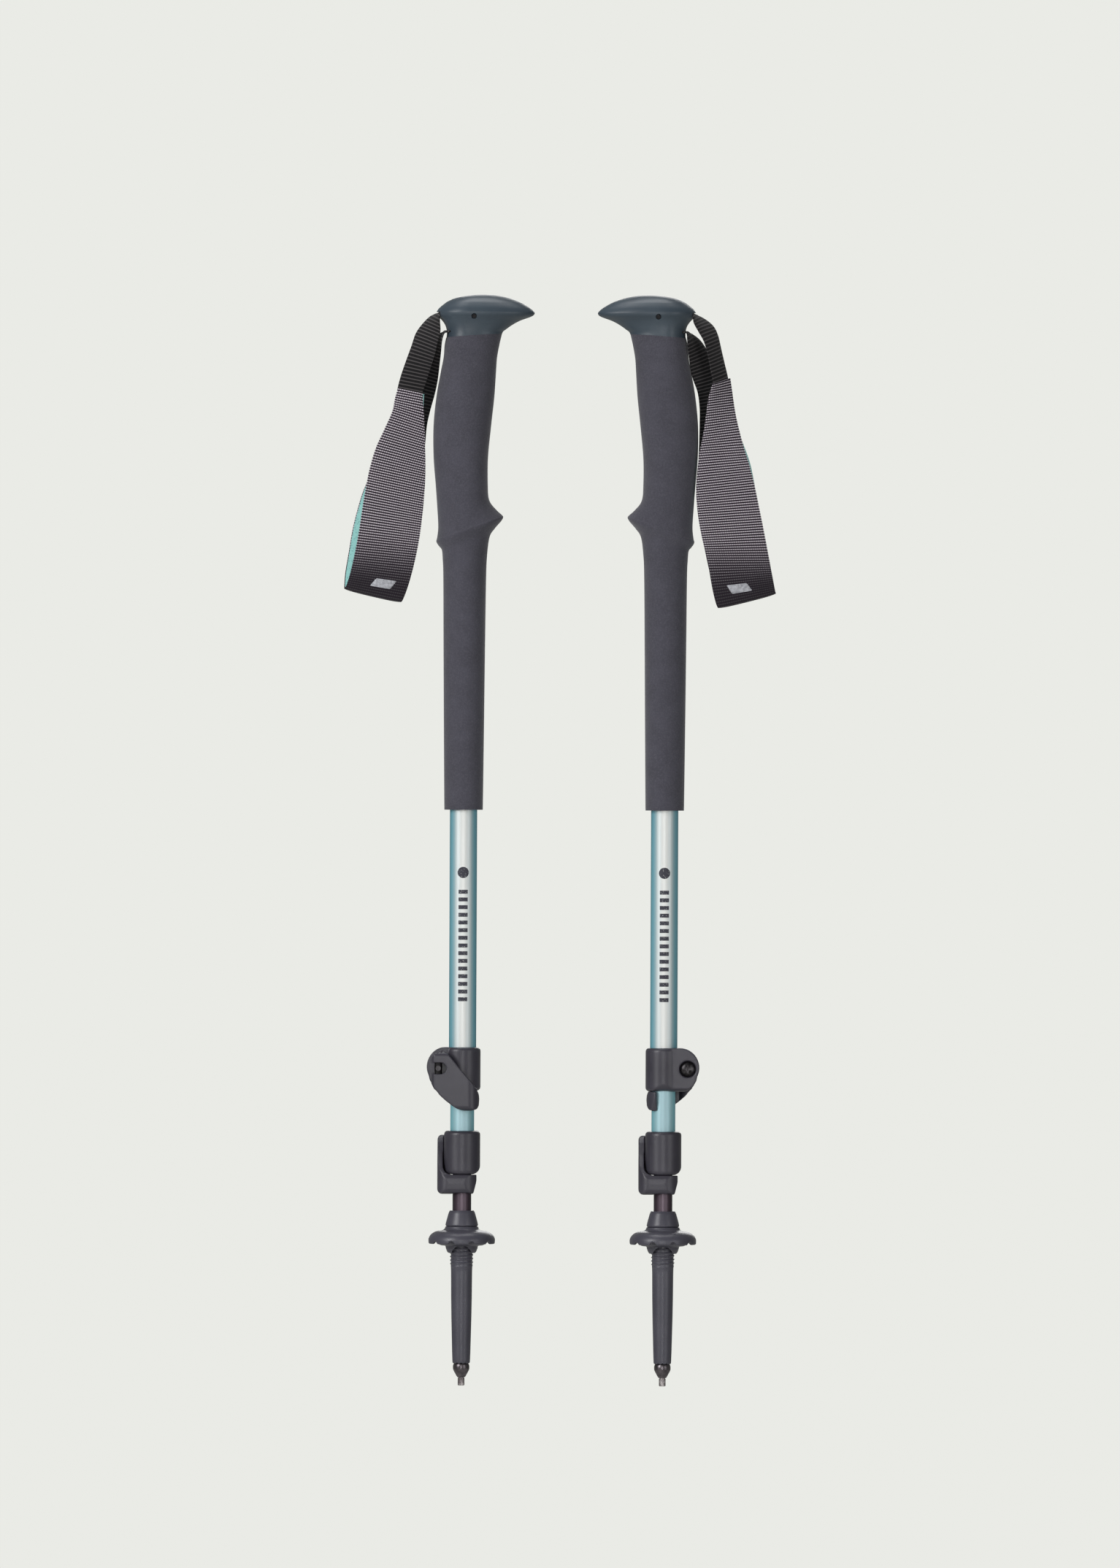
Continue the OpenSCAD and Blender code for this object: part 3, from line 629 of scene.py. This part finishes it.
def box_cutter(x, y, z, matrix, corner):
    """A closed block with rounded edges, for cutting a slot."""
    bm = bmesh.new()
    bmesh.ops.create_cube(bm, size=1)
    size = Vector((x[1] - x[0], y[1] - y[0], z[1] - z[0]))
    centre = Vector(((x[0] + x[1]) / 2, (y[0] + y[1]) / 2, (z[0] + z[1]) / 2))
    for v in bm.verts:
        v.co = centre + Vector(a * b for a, b in zip(v.co, size))
    bmesh.ops.bevel(bm, geom=bm.edges[:], offset=corner, segments=4, profile=0.5, affect="EDGES")
    bm.verts.ensure_lookup_table()
    verts = [v.co.copy() for v in bm.verts]
    faces = [[v.index for v in f.verts] for f in bm.faces]
    bm.free()
    return new_object("cutter", verts, faces, matrix)


PIN_X, PIN_Z = 5.0, 627.0
PIN_HOLE_R, PIN_MOUTH_R = 1.21, 1.65
PIN_MOUTH_Y = 14.1          # where the pin's hole widens at each side of the head
SPIGOT_R = 7.3              # the part of the head that sits in the upper tube
SPIGOT_END = 590.2
STRAP_SLOTS = ((628.5, 629.8), (617.65, 618.95))    # bottom and top of the two slots for the webbing
STRAP_SLOT_HALF_W = 7.9


def make_head(side):
    """The head: a hollow shell with a spigot below, a hole for the pin and a slot for each strap end."""
    m = upper_matrix(side)
    spigot = [circle(SPIGOT_R, *HEAD_ROWS[-1][3:]), circle(SPIGOT_R, SPIGOT_END + 0.8),
              circle(SPIGOT_R - 0.6, SPIGOT_END)]
    verts, faces = skin(egg_rings(HEAD_ROWS, 5) + spigot)
    head = new_object(f"{side}_head_shell", verts, faces, m)
    across = m @ Matrix.Translation((PIN_X, 0, PIN_Z)) @ Matrix.Rotation(math.pi / 2, 4, "X")
    half_hole = [(PIN_MOUTH_R, 30), (PIN_MOUTH_R, PIN_MOUTH_Y), (PIN_HOLE_R, PIN_MOUTH_Y - 0.2)]
    hole = lathe("cutter", [(r, -z) for r, z in half_hole] + half_hole[::-1], across, 32)
    chamber = box_cutter((-8, 9), (-8.55, 8.55), (616.9, 631), m, 1.0)
    half_w = STRAP_SLOT_HALF_W
    slots = [box_cutter((-24, -6), (-half_w, half_w), z, m, 0.4) for z in STRAP_SLOTS]
    cut(head, chamber, *slots, hole)
    soft_edges(head, 40)
    stand_in_for(head, f"{side}_grip_head", f"{side}_grip", HEAD)


FOAM_BORE_R = 8.03


def make_foam(side):
    """The foam grip and its extension: one sleeve pushed over the upper tube."""
    verts, faces = skin(egg_rings(FOAM_ROWS, 6))
    foam = new_object(f"{side}_foam_grip", verts, faces, upper_matrix(side))
    bore = lathe("cutter", [(FOAM_BORE_R, 330), (FOAM_BORE_R, 630)], upper_matrix(side), 96)
    cut(foam, bore)
    soft_edges(foam, 50)
    stand_in_for(foam, f"{side}_grip_foam", f"{side}_grip", FOAM)


# ---------------------------------------------------------------- strap

def strap_line(rows, step, mirror_y, zero_at=0):
    """Samples along a strap: edge A, edge B, outward direction and distance from row zero_at."""
    def centre_gap(a, b):
        return math.dist([(a[k] + a[k + 3]) / 2 for k in range(3)],
                         [(b[k] + b[k + 3]) / 2 for k in range(3)])

    rows = [[r[0], r[1] * mirror_y, r[2], r[3], r[4] * mirror_y, r[5]] for r in rows]
    samples, length = even_spline(rows, step, centre_gap)
    before = even_spline(rows[:zero_at + 1], step, centre_gap)[1] if zero_at else 0.0
    edges = [(Vector(s[:3]), Vector(s[3:])) for s in samples]
    line, last = [], len(edges) - 1
    for k, (a, b) in enumerate(edges):
        above, below = edges[max(k - 1, 0)], edges[min(k + 1, last)]
        along = (below[0] + below[1] - above[0] - above[1]).normalized()
        out = (b - a).cross(along).normalized() * -mirror_y
        line.append((a, b, out, length * k / last - before))
    return line


def crown(t):
    """How far the middle of a strap bulges outward, in mm, from one edge (0) to the other (1)."""
    return 0.25 * (1 - (2 * t - 1) ** 2)


def ribbon(name, rows, matrix, thickness, rib, rib_depth, step, across=14, zero_at=0, mirror_y=1, rise=0.0):
    """A strap through rows of two edge points (x, y, z, x, y, z), with ribs across it.

    rise moves the strap off the rows, towards its outer face. The strap_mm map holds the
    distance across and the distance along, counted from row number zero_at.
    """
    rings, uvs = [], []
    for a, b, out, distance in strap_line(rows, step, mirror_y, zero_at):
        width = b - a
        wave = math.sin(2 * math.pi * distance / rib) * rib_depth
        top, bottom, across_uv = [], [], []
        for i in range(across + 1):
            t = i / across
            edge_fall = 1 - (2 * abs(t - 0.5)) ** 6
            line = a + width * t + out * (rise + crown(t))
            half = thickness / 2 * (0.45 + 0.55 * edge_fall)
            top.append(line + out * (half + wave * edge_fall))
            bottom.append(line - out * (half + wave * edge_fall * 0.5))
            across_uv.append((width.length * t, distance))
        rings.append(top + bottom[::-1])
        uvs.append(across_uv + across_uv[::-1])
    verts, faces = skin(rings)
    obj = new_object(name, verts, faces, matrix)
    map_strap(obj, [p for ring in uvs for p in ring])
    return soft_edges(obj, 60)


def map_strap(obj, places):
    """Gives a strap its map of distances across and along, one pair for each vertex."""
    layer = obj.data.uv_layers.new(name="strap_mm")
    for loop in obj.data.loops:
        layer.data[loop.index].uv = places[loop.vertex_index]


# Rows of a strap from the head down: the outer edge (x, y, z), then the edge next to the pole.
# y is negative towards the viewer on the left pole; the right pole's rows are mirrored in y.
LEFT_FRONT_LEG = [
    (-12.2, 7.6, 629.2, -12.2, -7.6, 629.1), (-15.8, 7.5, 629.0, -14.8, -7.6, 628.7),
    (-20.5, 6.0, 627.4, -15.2, -7.5, 624.6), (-25.2, 3.5, 622.8, -14.9, -7.2, 618.2),
    (-29.2, 0.5, 617.0, -16.4, -6.9, 611.8), (-31.8, -2.5, 609.4, -18.1, -6.4, 604.5),
    (-35.2, -4.2, 600.0, -20.7, -5.7, 596.3), (-38.1, -4.7, 591.3, -23.1, -5.2, 588.3),
    (-40.0, -4.6, 583.6, -25.6, -4.7, 580.8), (-40.6, -4.3, 578.0, -26.0, -4.4, 575.6),
]
LEFT_BACK_LEG = [
    (-9.6, 7.6, 618.3, -9.6, -7.6, 618.3), (-12.8, 7.6, 618.0, -12.4, -7.4, 617.4),
    (-17.5, 7.4, 615.6, -13.9, -6.4, 612.8), (-23.5, 7.3, 610.8, -14.5, -3.2, 606.6),
    (-27.5, 7.0, 603.4, -15.3, 0.4, 599.0), (-30.3, 6.4, 594.4, -16.3, 2.8, 590.0),
    (-32.6, 5.6, 585.4, -18.0, 4.2, 581.5), (-34.9, 5.2, 575.4, -20.6, 4.8, 572.0),
    (-37.0, 4.9, 565.4, -22.5, 4.9, 563.0), (-38.4, 4.3, 552.0, -23.6, 4.3, 551.0),
    (-39.2, 4.0, 546.0, -24.6, 4.0, 545.0),
]
LEFT_BAND = [
    (-39.6, -5.7, 584.6, -25.0, -5.7, 581.6), (-41.3, -6.1, 578.6, -24.6, -5.9, 575.0),
    (-42.8, -6.1, 571.2, -24.0, -5.9, 565.0), (-47.4, -6.0, 560.6, -23.5, -5.8, 553.2),
    (-52.4, -5.8, 549.5, -23.2, -5.6, 541.6), (-55.8, -5.6, 538.0, -23.3, -5.4, 530.5),
    (-57.9, -5.4, 527.5, -24.0, -5.2, 520.0), (-59.9, -5.2, 515.5, -25.0, -5.0, 509.0),
    (-62.1, -5.0, 500.5, -26.7, -4.8, 496.0), (-64.8, -4.5, 486.0, -29.4, -4.4, 482.5),
    (-67.4, -3.8, 475.0, -32.7, -3.8, 470.0), (-69.4, -2.6, 468.9, -35.6, -2.6, 461.9),
    (-70.3, 0.0, 467.3, -37.2, 0.0, 459.7),
    (-70.6, 2.6, 468.9, -36.9, 2.6, 461.9), (-70.0, 3.8, 477.0, -35.0, 3.8, 471.0),
    (-68.2, 4.5, 488.0, -32.4, 4.5, 484.0), (-65.9, 5.0, 502.0, -30.0, 5.0, 497.0),
    (-63.0, 5.3, 514.0, -28.2, 5.3, 509.0), (-60.0, 5.4, 524.0, -26.8, 5.4, 520.0),
    (-56.2, 5.4, 533.0, -25.8, 5.4, 530.0), (-52.4, 5.4, 541.6, -25.2, 5.4, 539.6),
    (-48.0, 5.3, 551.0, -25.0, 5.3, 549.0),
]
RIGHT_FRONT_LEG = [
    (-12.2, 7.6, 629.2, -12.2, -7.6, 629.1), (-16.0, 7.5, 629.0, -14.9, -7.6, 628.7),
    (-21.8, 6.8, 626.6, -15.9, -7.5, 623.8), (-27.2, 5.6, 622.2, -18.6, -7.3, 618.8),
    (-30.0, 4.9, 616.6, -21.9, -7.1, 612.8), (-31.9, 4.2, 608.6, -24.2, -6.9, 604.8),
    (-33.8, 3.4, 600.6, -25.7, -6.9, 597.0), (-35.8, 2.6, 592.2, -27.3, -6.7, 588.6),
    (-37.0, 2.0, 584.0, -26.6, -6.2, 581.0), (-37.6, 1.6, 578.4, -26.2, -6.0, 576.0),
]
RIGHT_BACK_LEG = [
    (-9.6, 7.6, 618.3, -9.6, -7.6, 618.3), (-12.6, 7.6, 618.3, -11.6, -7.5, 617.9),
    (-16.6, 7.5, 616.4, -12.1, -7.2, 613.8), (-20.4, 7.3, 612.9, -12.5, -6.6, 608.4),
    (-24.4, 6.6, 606.4, -13.4, -5.0, 601.4), (-28.2, 6.4, 597.0, -15.1, -3.2, 592.2),
    (-31.4, 6.2, 586.8, -18.3, 0.8, 583.2), (-33.6, 6.1, 576.0, -19.5, 3.6, 573.6),
    (-34.8, 6.0, 566.0, -19.5, 5.4, 563.6), (-35.6, 5.4, 552.0, -19.3, 5.6, 551.0),
    (-36.0, 5.2, 546.0, -19.8, 5.6, 545.0),
]
RIGHT_BAND = [
    (-37.2, 1.6, 591.6, -27.2, -7.7, 588.2), (-38.5, 0.6, 583.0, -24.9, -7.6, 580.6),
    (-40.2, -1.0, 572.0, -23.2, -7.4, 569.6), (-42.5, -2.8, 561.7, -21.6, -7.2, 558.6),
    (-45.7, -4.2, 550.0, -19.5, -7.0, 547.6), (-48.6, -5.0, 541.0, -18.2, -6.9, 537.8),
    (-51.5, -5.4, 530.0, -17.5, -6.8, 526.0), (-54.6, -5.4, 515.5, -18.5, -6.4, 512.6),
    (-57.4, -5.2, 502.0, -20.7, -5.8, 499.6), (-60.8, -4.6, 484.4, -24.4, -4.9, 484.0),
    (-63.0, -3.8, 473.0, -27.2, -4.0, 468.6), (-64.1, -2.6, 467.4, -29.4, -2.6, 459.6),
    (-64.6, 0.0, 465.6, -30.8, 0.0, 457.0),
    (-64.0, 2.6, 467.4, -30.0, 2.6, 459.6), (-62.6, 3.8, 474.0, -27.8, 3.8, 469.0),
    (-60.2, 4.6, 485.0, -24.2, 4.6, 484.6), (-57.0, 5.2, 502.0, -21.2, 5.2, 499.6),
    (-54.2, 5.4, 515.5, -19.8, 5.6, 512.6), (-51.0, 5.5, 530.0, -19.0, 5.8, 526.0),
    (-48.0, 5.6, 541.0, -18.8, 6.0, 538.0), (-45.0, 5.6, 551.0, -19.1, 6.0, 548.6),
    (-42.2, 5.4, 560.0, -19.6, 5.8, 557.6),
]
BAND_FOLD_ROW = 12      # the row of a band at its fold, at the very bottom


def tail_rows():
    """The hidden end of the strap: in above the pin, round it and out under it."""
    reach, half = 2.2, 7.6
    path = [(-12.2, 629.15), (-8, 629.2), (-2, 629.2), (PIN_X - 1, PIN_Z + reach)]
    path += [(PIN_X + reach * math.sin(a), PIN_Z + reach * math.cos(a))
             for a in (math.pi / 4, math.pi / 2, 3 * math.pi / 4)]
    path += [(PIN_X - 0.5, PIN_Z - reach), (1, 624.7), (-3, 622.6), (-7, 618.7), (-9.6, 618.3)]
    return [(x, half, z, x, -half, z) for x, z in path]


def lining_rows(band, outer_lip, inner_lip):
    """The lining's rows: pulled in from the band's edges, and lifted over the ends of the webbing.

    A lip gives, for single rows, how far that edge stands past the band's edge instead, in mm.
    """
    margin = -0.5
    out = []
    for k, r in enumerate(band[:-1]):
        a, b = Vector(r[:3]), Vector(r[3:])
        pull = (b - a).normalized()
        past_a = outer_lip.get(k, margin)
        past_b = inner_lip.get(k, margin)
        covers_leg = {0: 1.3, 1: 1.2, 2: 0.5}.get(k, 0.0)
        lift = Vector((0, covers_leg, 0))
        out.append((*(a - pull * past_a + lift), *(b + pull * past_b + lift)))
    return out


def bar_patch(name, band, matrix, mirror_y, low, high, left, right, slant):
    """A thin slanted bar on the front of the band.

    It stands low to high mm above the fold, left to right mm across, and leans by slant mm a mm.
    """
    thick, across = 0.3, 12
    rings, uvs = [], []
    for a, b, out, distance in strap_line(band, 0.5, mirror_y, BAND_FOLD_ROW):
        up = -distance
        if not low <= up <= high:
            continue
        width = b - a
        shift = slant * (up - low)
        blunt = 0.35 * max(0, 1 - min(up - low, high - up) / 0.6)
        face, back, places = [], [], []
        for i in range(across + 1):
            u = left + shift + blunt + (right - left - 2 * blunt) * i / across
            t = u / width.length
            fall = 1 - (2 * abs(i / across - 0.5)) ** 8
            line = a + width * t + out * (crown(t) + 0.78)
            face.append(line + out * thick * fall)
            back.append(line - out * 0.05)
            places.append((u, distance))
        rings.append(face + back[::-1])
        uvs.append(places + places[::-1])
    verts, faces = skin(rings)
    obj = new_object(name, verts, faces, matrix)
    map_strap(obj, [p for ring in uvs for p in ring])
    return soft_edges(obj, 60)


def make_strap(side):
    """The strap: two webbing legs and a hidden tail, then the band with its lining and its bar."""
    m = upper_matrix(side)
    mirror = 1 if side == "left" else -1
    front, back, band = {
        "left": (LEFT_FRONT_LEG, LEFT_BACK_LEG, LEFT_BAND),
        "right": (RIGHT_FRONT_LEG, RIGHT_BACK_LEG, RIGHT_BAND),
    }[side]
    body = f"{side}_strap"
    web = dict(matrix=m, thickness=1.3, rib=WEB_RIB, rib_depth=0.1, step=WEB_RIB / 6, mirror_y=mirror)
    legs = [ribbon(f"{side}_webbing_front_leg", front, **web),
            ribbon(f"{side}_webbing_back_leg", back, **web)]
    for leg in legs:
        dress(leg, WEBBING)
        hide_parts(f"{side}_strap_webbing")
        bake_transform(leg)
    tail = ribbon(f"{side}_tail", tail_rows(), **web)
    stand_in_for(tail, f"{side}_strap_tail", f"{side}_grip", WEBBING)

    wide = dict(matrix=m, across=20, zero_at=BAND_FOLD_ROW, mirror_y=mirror)
    outer = ribbon(f"{side}_band", band, thickness=1.5, rib=BAND_RIB, rib_depth=0.09,
                   step=BAND_RIB / 7, **wide)
    stand_in_for(outer, f"{side}_strap_band", body, BAND)
    lips = {
        "left": ({}, {0: 0.9, 1: 0.2}),
        "right": ({0: 0.8, 1: 0.3, 4: 0.7, 5: 0.8, 6: 0.2}, {0: -1.6, 1: -1.6, 2: -1.2}),
    }[side]
    lining = ribbon(f"{side}_lining", lining_rows(band, *lips), thickness=0.7, rib=1.0, rib_depth=0.0,
                    step=0.8, rise=-1.15, **wide)
    stand_in_for(lining, f"{side}_strap_lining", body, LINING)
    patch = bar_patch(f"{side}_reflective_bar", band, m, mirror,
                      low=6.5, high=12.0, left=13.0, right=25.0, slant=0.5)
    stand_in_for(patch, f"{side}_strap_patch", body, REFLECTIVE)


# ---------------------------------------------------------------- tip

THREAD_PITCH = 2.1
THREAD_LOW, THREAD_HIGH = 69.8, 89.6
TIP_BODY = [
    (4.7, 13.0), (5.1, 13.4), (5.2, 14.6), (5.4, 20), (5.65, 30), (5.9, 40), (6.1, 52), (6.2, 66),
    (6.3, 69.6),
]
TIP_COLLAR = [(6.4, 93.3), (9.2, 93.4), (9.6, 94.2), (9.1, 96.4), (7.7, 101.4), (7.0, 102.65)]
FLUTE_TOP = 4.3
TIP_SOCKET = [(5.53, 102.65), (5.53, 62), (3.45, 61.6), (3.45, 26), (3.45, 13.0)]


def tip_surface(r, z, angle):
    """A scalloped lower edge, and above it a real helix: a ridge that climbs one pitch each turn."""
    if z < 13.6 and r > 3.5:
        return r, z + 0.55 * max(0.0, math.cos(12 * angle)) * (13.6 - z) / 0.6
    if not THREAD_LOW < z < THREAD_HIGH or r < 6.3:
        return r, z
    phase = (z - THREAD_LOW) / THREAD_PITCH - angle / (2 * math.pi)
    ridge = max(0.0, math.cos(2 * math.pi * phase)) ** 0.7
    fade = min(1, (z - THREAD_LOW) / 2, (THREAD_HIGH - z) / 2)
    return 6.35 + 0.5 * ridge * fade, z


def make_tip(side):
    """The tip: the moulded body with its thread, the ferrule and the fluted carbide pin."""
    m = lower_matrix(side)
    count = int((THREAD_HIGH - THREAD_LOW) / 0.15)
    middle = [(6.4, THREAD_LOW + (THREAD_HIGH - THREAD_LOW) * k / count) for k in range(count + 1)]
    outside = rounded(TIP_BODY, 0.6) + middle + rounded(TIP_COLLAR, 1.2)
    profile = outside + TIP_SOCKET
    body = lathe(f"{side}_tip_cone", profile + profile[:1], m, 144, tip_surface)
    stand_in_for(body, f"{side}_tip_body", f"{side}_lower_section", TIP)

    outside = rounded([(1.75, 4.8), (2.2, 4.8), (2.6, 5.3), (4.4, 8.6), (4.85, 9.7), (4.85, 11.6),
                       (4.4, 12.9), (3.4, 12.95), (3.4, 26), (1.75, 26)], 0.6)
    ferrule = lathe(f"{side}_steel_ferrule", outside + outside[:1], m, 72)
    stand_in_for(ferrule, f"{side}_tip_ferrule", f"{side}_lower_section", DARK_STEEL)

    def fluted(r, z, angle):
        """Eight shallow flutes round the pin, which fade out below the ferrule."""
        if r < 1.75 or z > FLUTE_TOP:
            return r, z
        return r - 0.14 * max(0, math.cos(8 * angle)) ** 3 * min(1, (FLUTE_TOP - z) / 0.6), z

    cup = [(0.02, 0.75), (0.8, 0.6), (1.35, 0.25), (1.7, 0.0)]
    side_line = [(1.7 + 0.3 * min(1, k / 2), 0.02 + 0.3 * k / 2) for k in (1, 2)]
    side_line += [(2.0, 0.32 + 4.0 * k / 10) for k in range(1, 11)]
    carbide = lathe(f"{side}_carbide_pin", cup + side_line + [(1.7, 4.42), (1.7, 19.8), (0.02, 19.9)],
                    m, 64, fluted)
    stand_in_for(carbide, f"{side}_carbide_tip", f"{side}_lower_section", CARBIDE)


# ---------------------------------------------------------------- build

LEVER_TAB_TOP = {"upper": 172.4, "lower": 123.4}    # where a lever's tab meets the collar above it

for side in SIDES:
    make_head(side)
    make_foam(side)
    make_strap(side)
    make_tip(side)
    for lock, collar_body in (("upper", "grip"), ("lower", "mid_section")):
        collar = f"{side}_{lock}_collar"
        lever = f"{side}_{lock}_lever"
        for piece in (
            moulded(f"{collar}_body", collar, 0.28, 16, f"{side}_{collar_body}"),
            moulded(f"{lever}_body", lever, 0.24, 26, lever, LEVER_TAB_TOP[lock]),
        ):
            dress(piece, LOCK)
    basket = moulded(f"{side}_basket_disc", f"{side}_basket", 0.28, 8, f"{side}_basket")
    dress(basket, TIP)
    repaint(f"{side}_upper_tube", UPPER_TUBE[side])
    repaint(f"{side}_mid_tube", MID_TUBE)
    repaint(f"{side}_lower_tube", LOWER_TUBE)
    # The pin's near-black colour is partly painted shade of the hole it sits in.
    repaint(f"{side}_strap_pin", BLACK_AND_SHADED_STEEL)
    repaint(f"{side}_strap_wedge", LOCK)
    repaint(f"{side}_mid_guide", GUIDE)
    repaint(f"{side}_lower_guide", GUIDE)
    for lock in ("upper", "lower"):
        repaint(f"{side}_{lock}_screw", BLACK_STEEL)
        # The barrel nut's near-black colour is partly painted shade of the lever's slot.
        repaint(f"{side}_{lock}_barrel_nut", BLACK_AND_SHADED_STEEL)


# ---------------------------------------------------------------- studio

BACKDROP = srgb(234, 235, 230)
AMBIENT = 0.16


def plain_surface(name, colour, glow):
    """A pale surface that looks evenly lit to the camera and gives off a softer light to the part."""
    n = Nodes(name)
    seen = n.add("ShaderNodeLightPath").outputs["Is Camera Ray"]
    cloud = n.math("MULTIPLY", n.noise(n.object_mm(), 0.002, 2), 0.03)
    tint = n.mix(cloud, colour, srgb(226, 227, 222))
    n.finish(n.mix(seen, srgb(190, 190, 186), srgb(0, 0, 0)), 1.0, Specular_IOR_Level=0.0)
    n.put(n.bsdf.inputs["Emission Color"], tint)
    n.put(n.bsdf.inputs["Emission Strength"], n.math("MAXIMUM", seen, glow))
    return n.mat


def sheet(name, rows, half_w, material):
    """A studio surface from a line of (y, z) points, drawn out to both sides."""
    verts = [(x, y, z) for y, z in rows for x in (-half_w, half_w)]
    faces = [(2 * k, 2 * k + 1, 2 * k + 3, 2 * k + 2) for k in range(len(rows) - 1)]
    obj = new_object(name, verts, faces, Matrix.Identity(4))
    obj.data.materials.append(material)
    return obj


def make_studio():
    """A pale floor, well below the poles so that they can be drawn out to full length, and a screen
    behind them that gives off light but never hides them."""
    floor_z = -0.75
    far = 60.0
    rise_at = 3.0
    sweep = 1.5
    screen_half = 6.0
    pale = plain_surface("studio_pale", BACKDROP, 0.1)
    sheet("studio_floor", [(-far, floor_z), (far, floor_z)], far, pale)
    arc = [math.pi / 2 * k / 16 for k in range(1, 17)]
    rows = [(rise_at + sweep * math.sin(a), floor_z + sweep * (1 - math.cos(a))) for a in arc]
    screen = sheet("studio_screen", rows + [(rise_at + sweep, floor_z + screen_half)], screen_half, pale)
    screen.visible_camera = False


def area_light(name, place, size, power):
    """A soft lamp that points at the middle of the poles."""
    middle = Vector((0.06, 0, 0.33))
    data = bpy.data.lights.new(name, "AREA")
    data.shape = "RECTANGLE"
    data.size, data.size_y = size
    data.energy = power
    lamp = bpy.data.objects.new(name, data)
    lamp.location = place
    lamp.rotation_mode = "QUATERNION"
    lamp.rotation_quaternion = (middle - Vector(place)).to_track_quat("-Z", "Y")
    lamp.visible_camera = False
    bpy.context.scene.collection.objects.link(lamp)


def make_camera():
    """Square on to the poles, from far off, framed as a tall product picture."""
    frame_h = 0.92
    distance = 9.0
    aspect_long = 36.0
    data = bpy.data.cameras.new("camera")
    data.sensor_width = aspect_long
    data.lens = aspect_long * distance / frame_h
    camera = bpy.data.objects.new("camera", data)
    camera.location = (0.0565, -distance, 0.3531)
    camera.rotation_euler = (math.pi / 2, math.radians(-0.25), 0)
    bpy.context.scene.collection.objects.link(camera)
    bpy.context.scene.camera = camera


def make_air():
    """The air round the studio: a faint light on the part, and the backdrop's colour to the camera."""
    world = bpy.data.worlds.new("studio_air")
    bpy.context.scene.world = world
    world.use_nodes = True
    air = world.node_tree
    strength = air.nodes.new("ShaderNodeMath")
    strength.operation = "MULTIPLY_ADD"
    strength.inputs[1].default_value = 1 - AMBIENT
    strength.inputs[2].default_value = AMBIENT
    air.links.new(air.nodes.new("ShaderNodeLightPath").outputs["Is Camera Ray"], strength.inputs[0])
    air.links.new(strength.outputs[0], air.nodes["Background"].inputs["Strength"])
    air.nodes["Background"].inputs["Color"].default_value = BACKDROP


make_studio()
make_camera()
area_light("key", (-2.1, -2.1, 1.3), (1.2, 1.8), 62)
area_light("fill", (2.1, -2.2, 0.5), (1.2, 1.8), 14)
area_light("front", (0.0, -3.6, 0.4), (0.35, 1.8), 20)
area_light("top", (0.0, 0.2, 2.6), (1.6, 1.0), 26)
area_light("back", (0.5, 3.6, 1.6), (1.6, 1.8), 26)
make_air()
bpy.context.scene.view_settings.view_transform = "Standard"
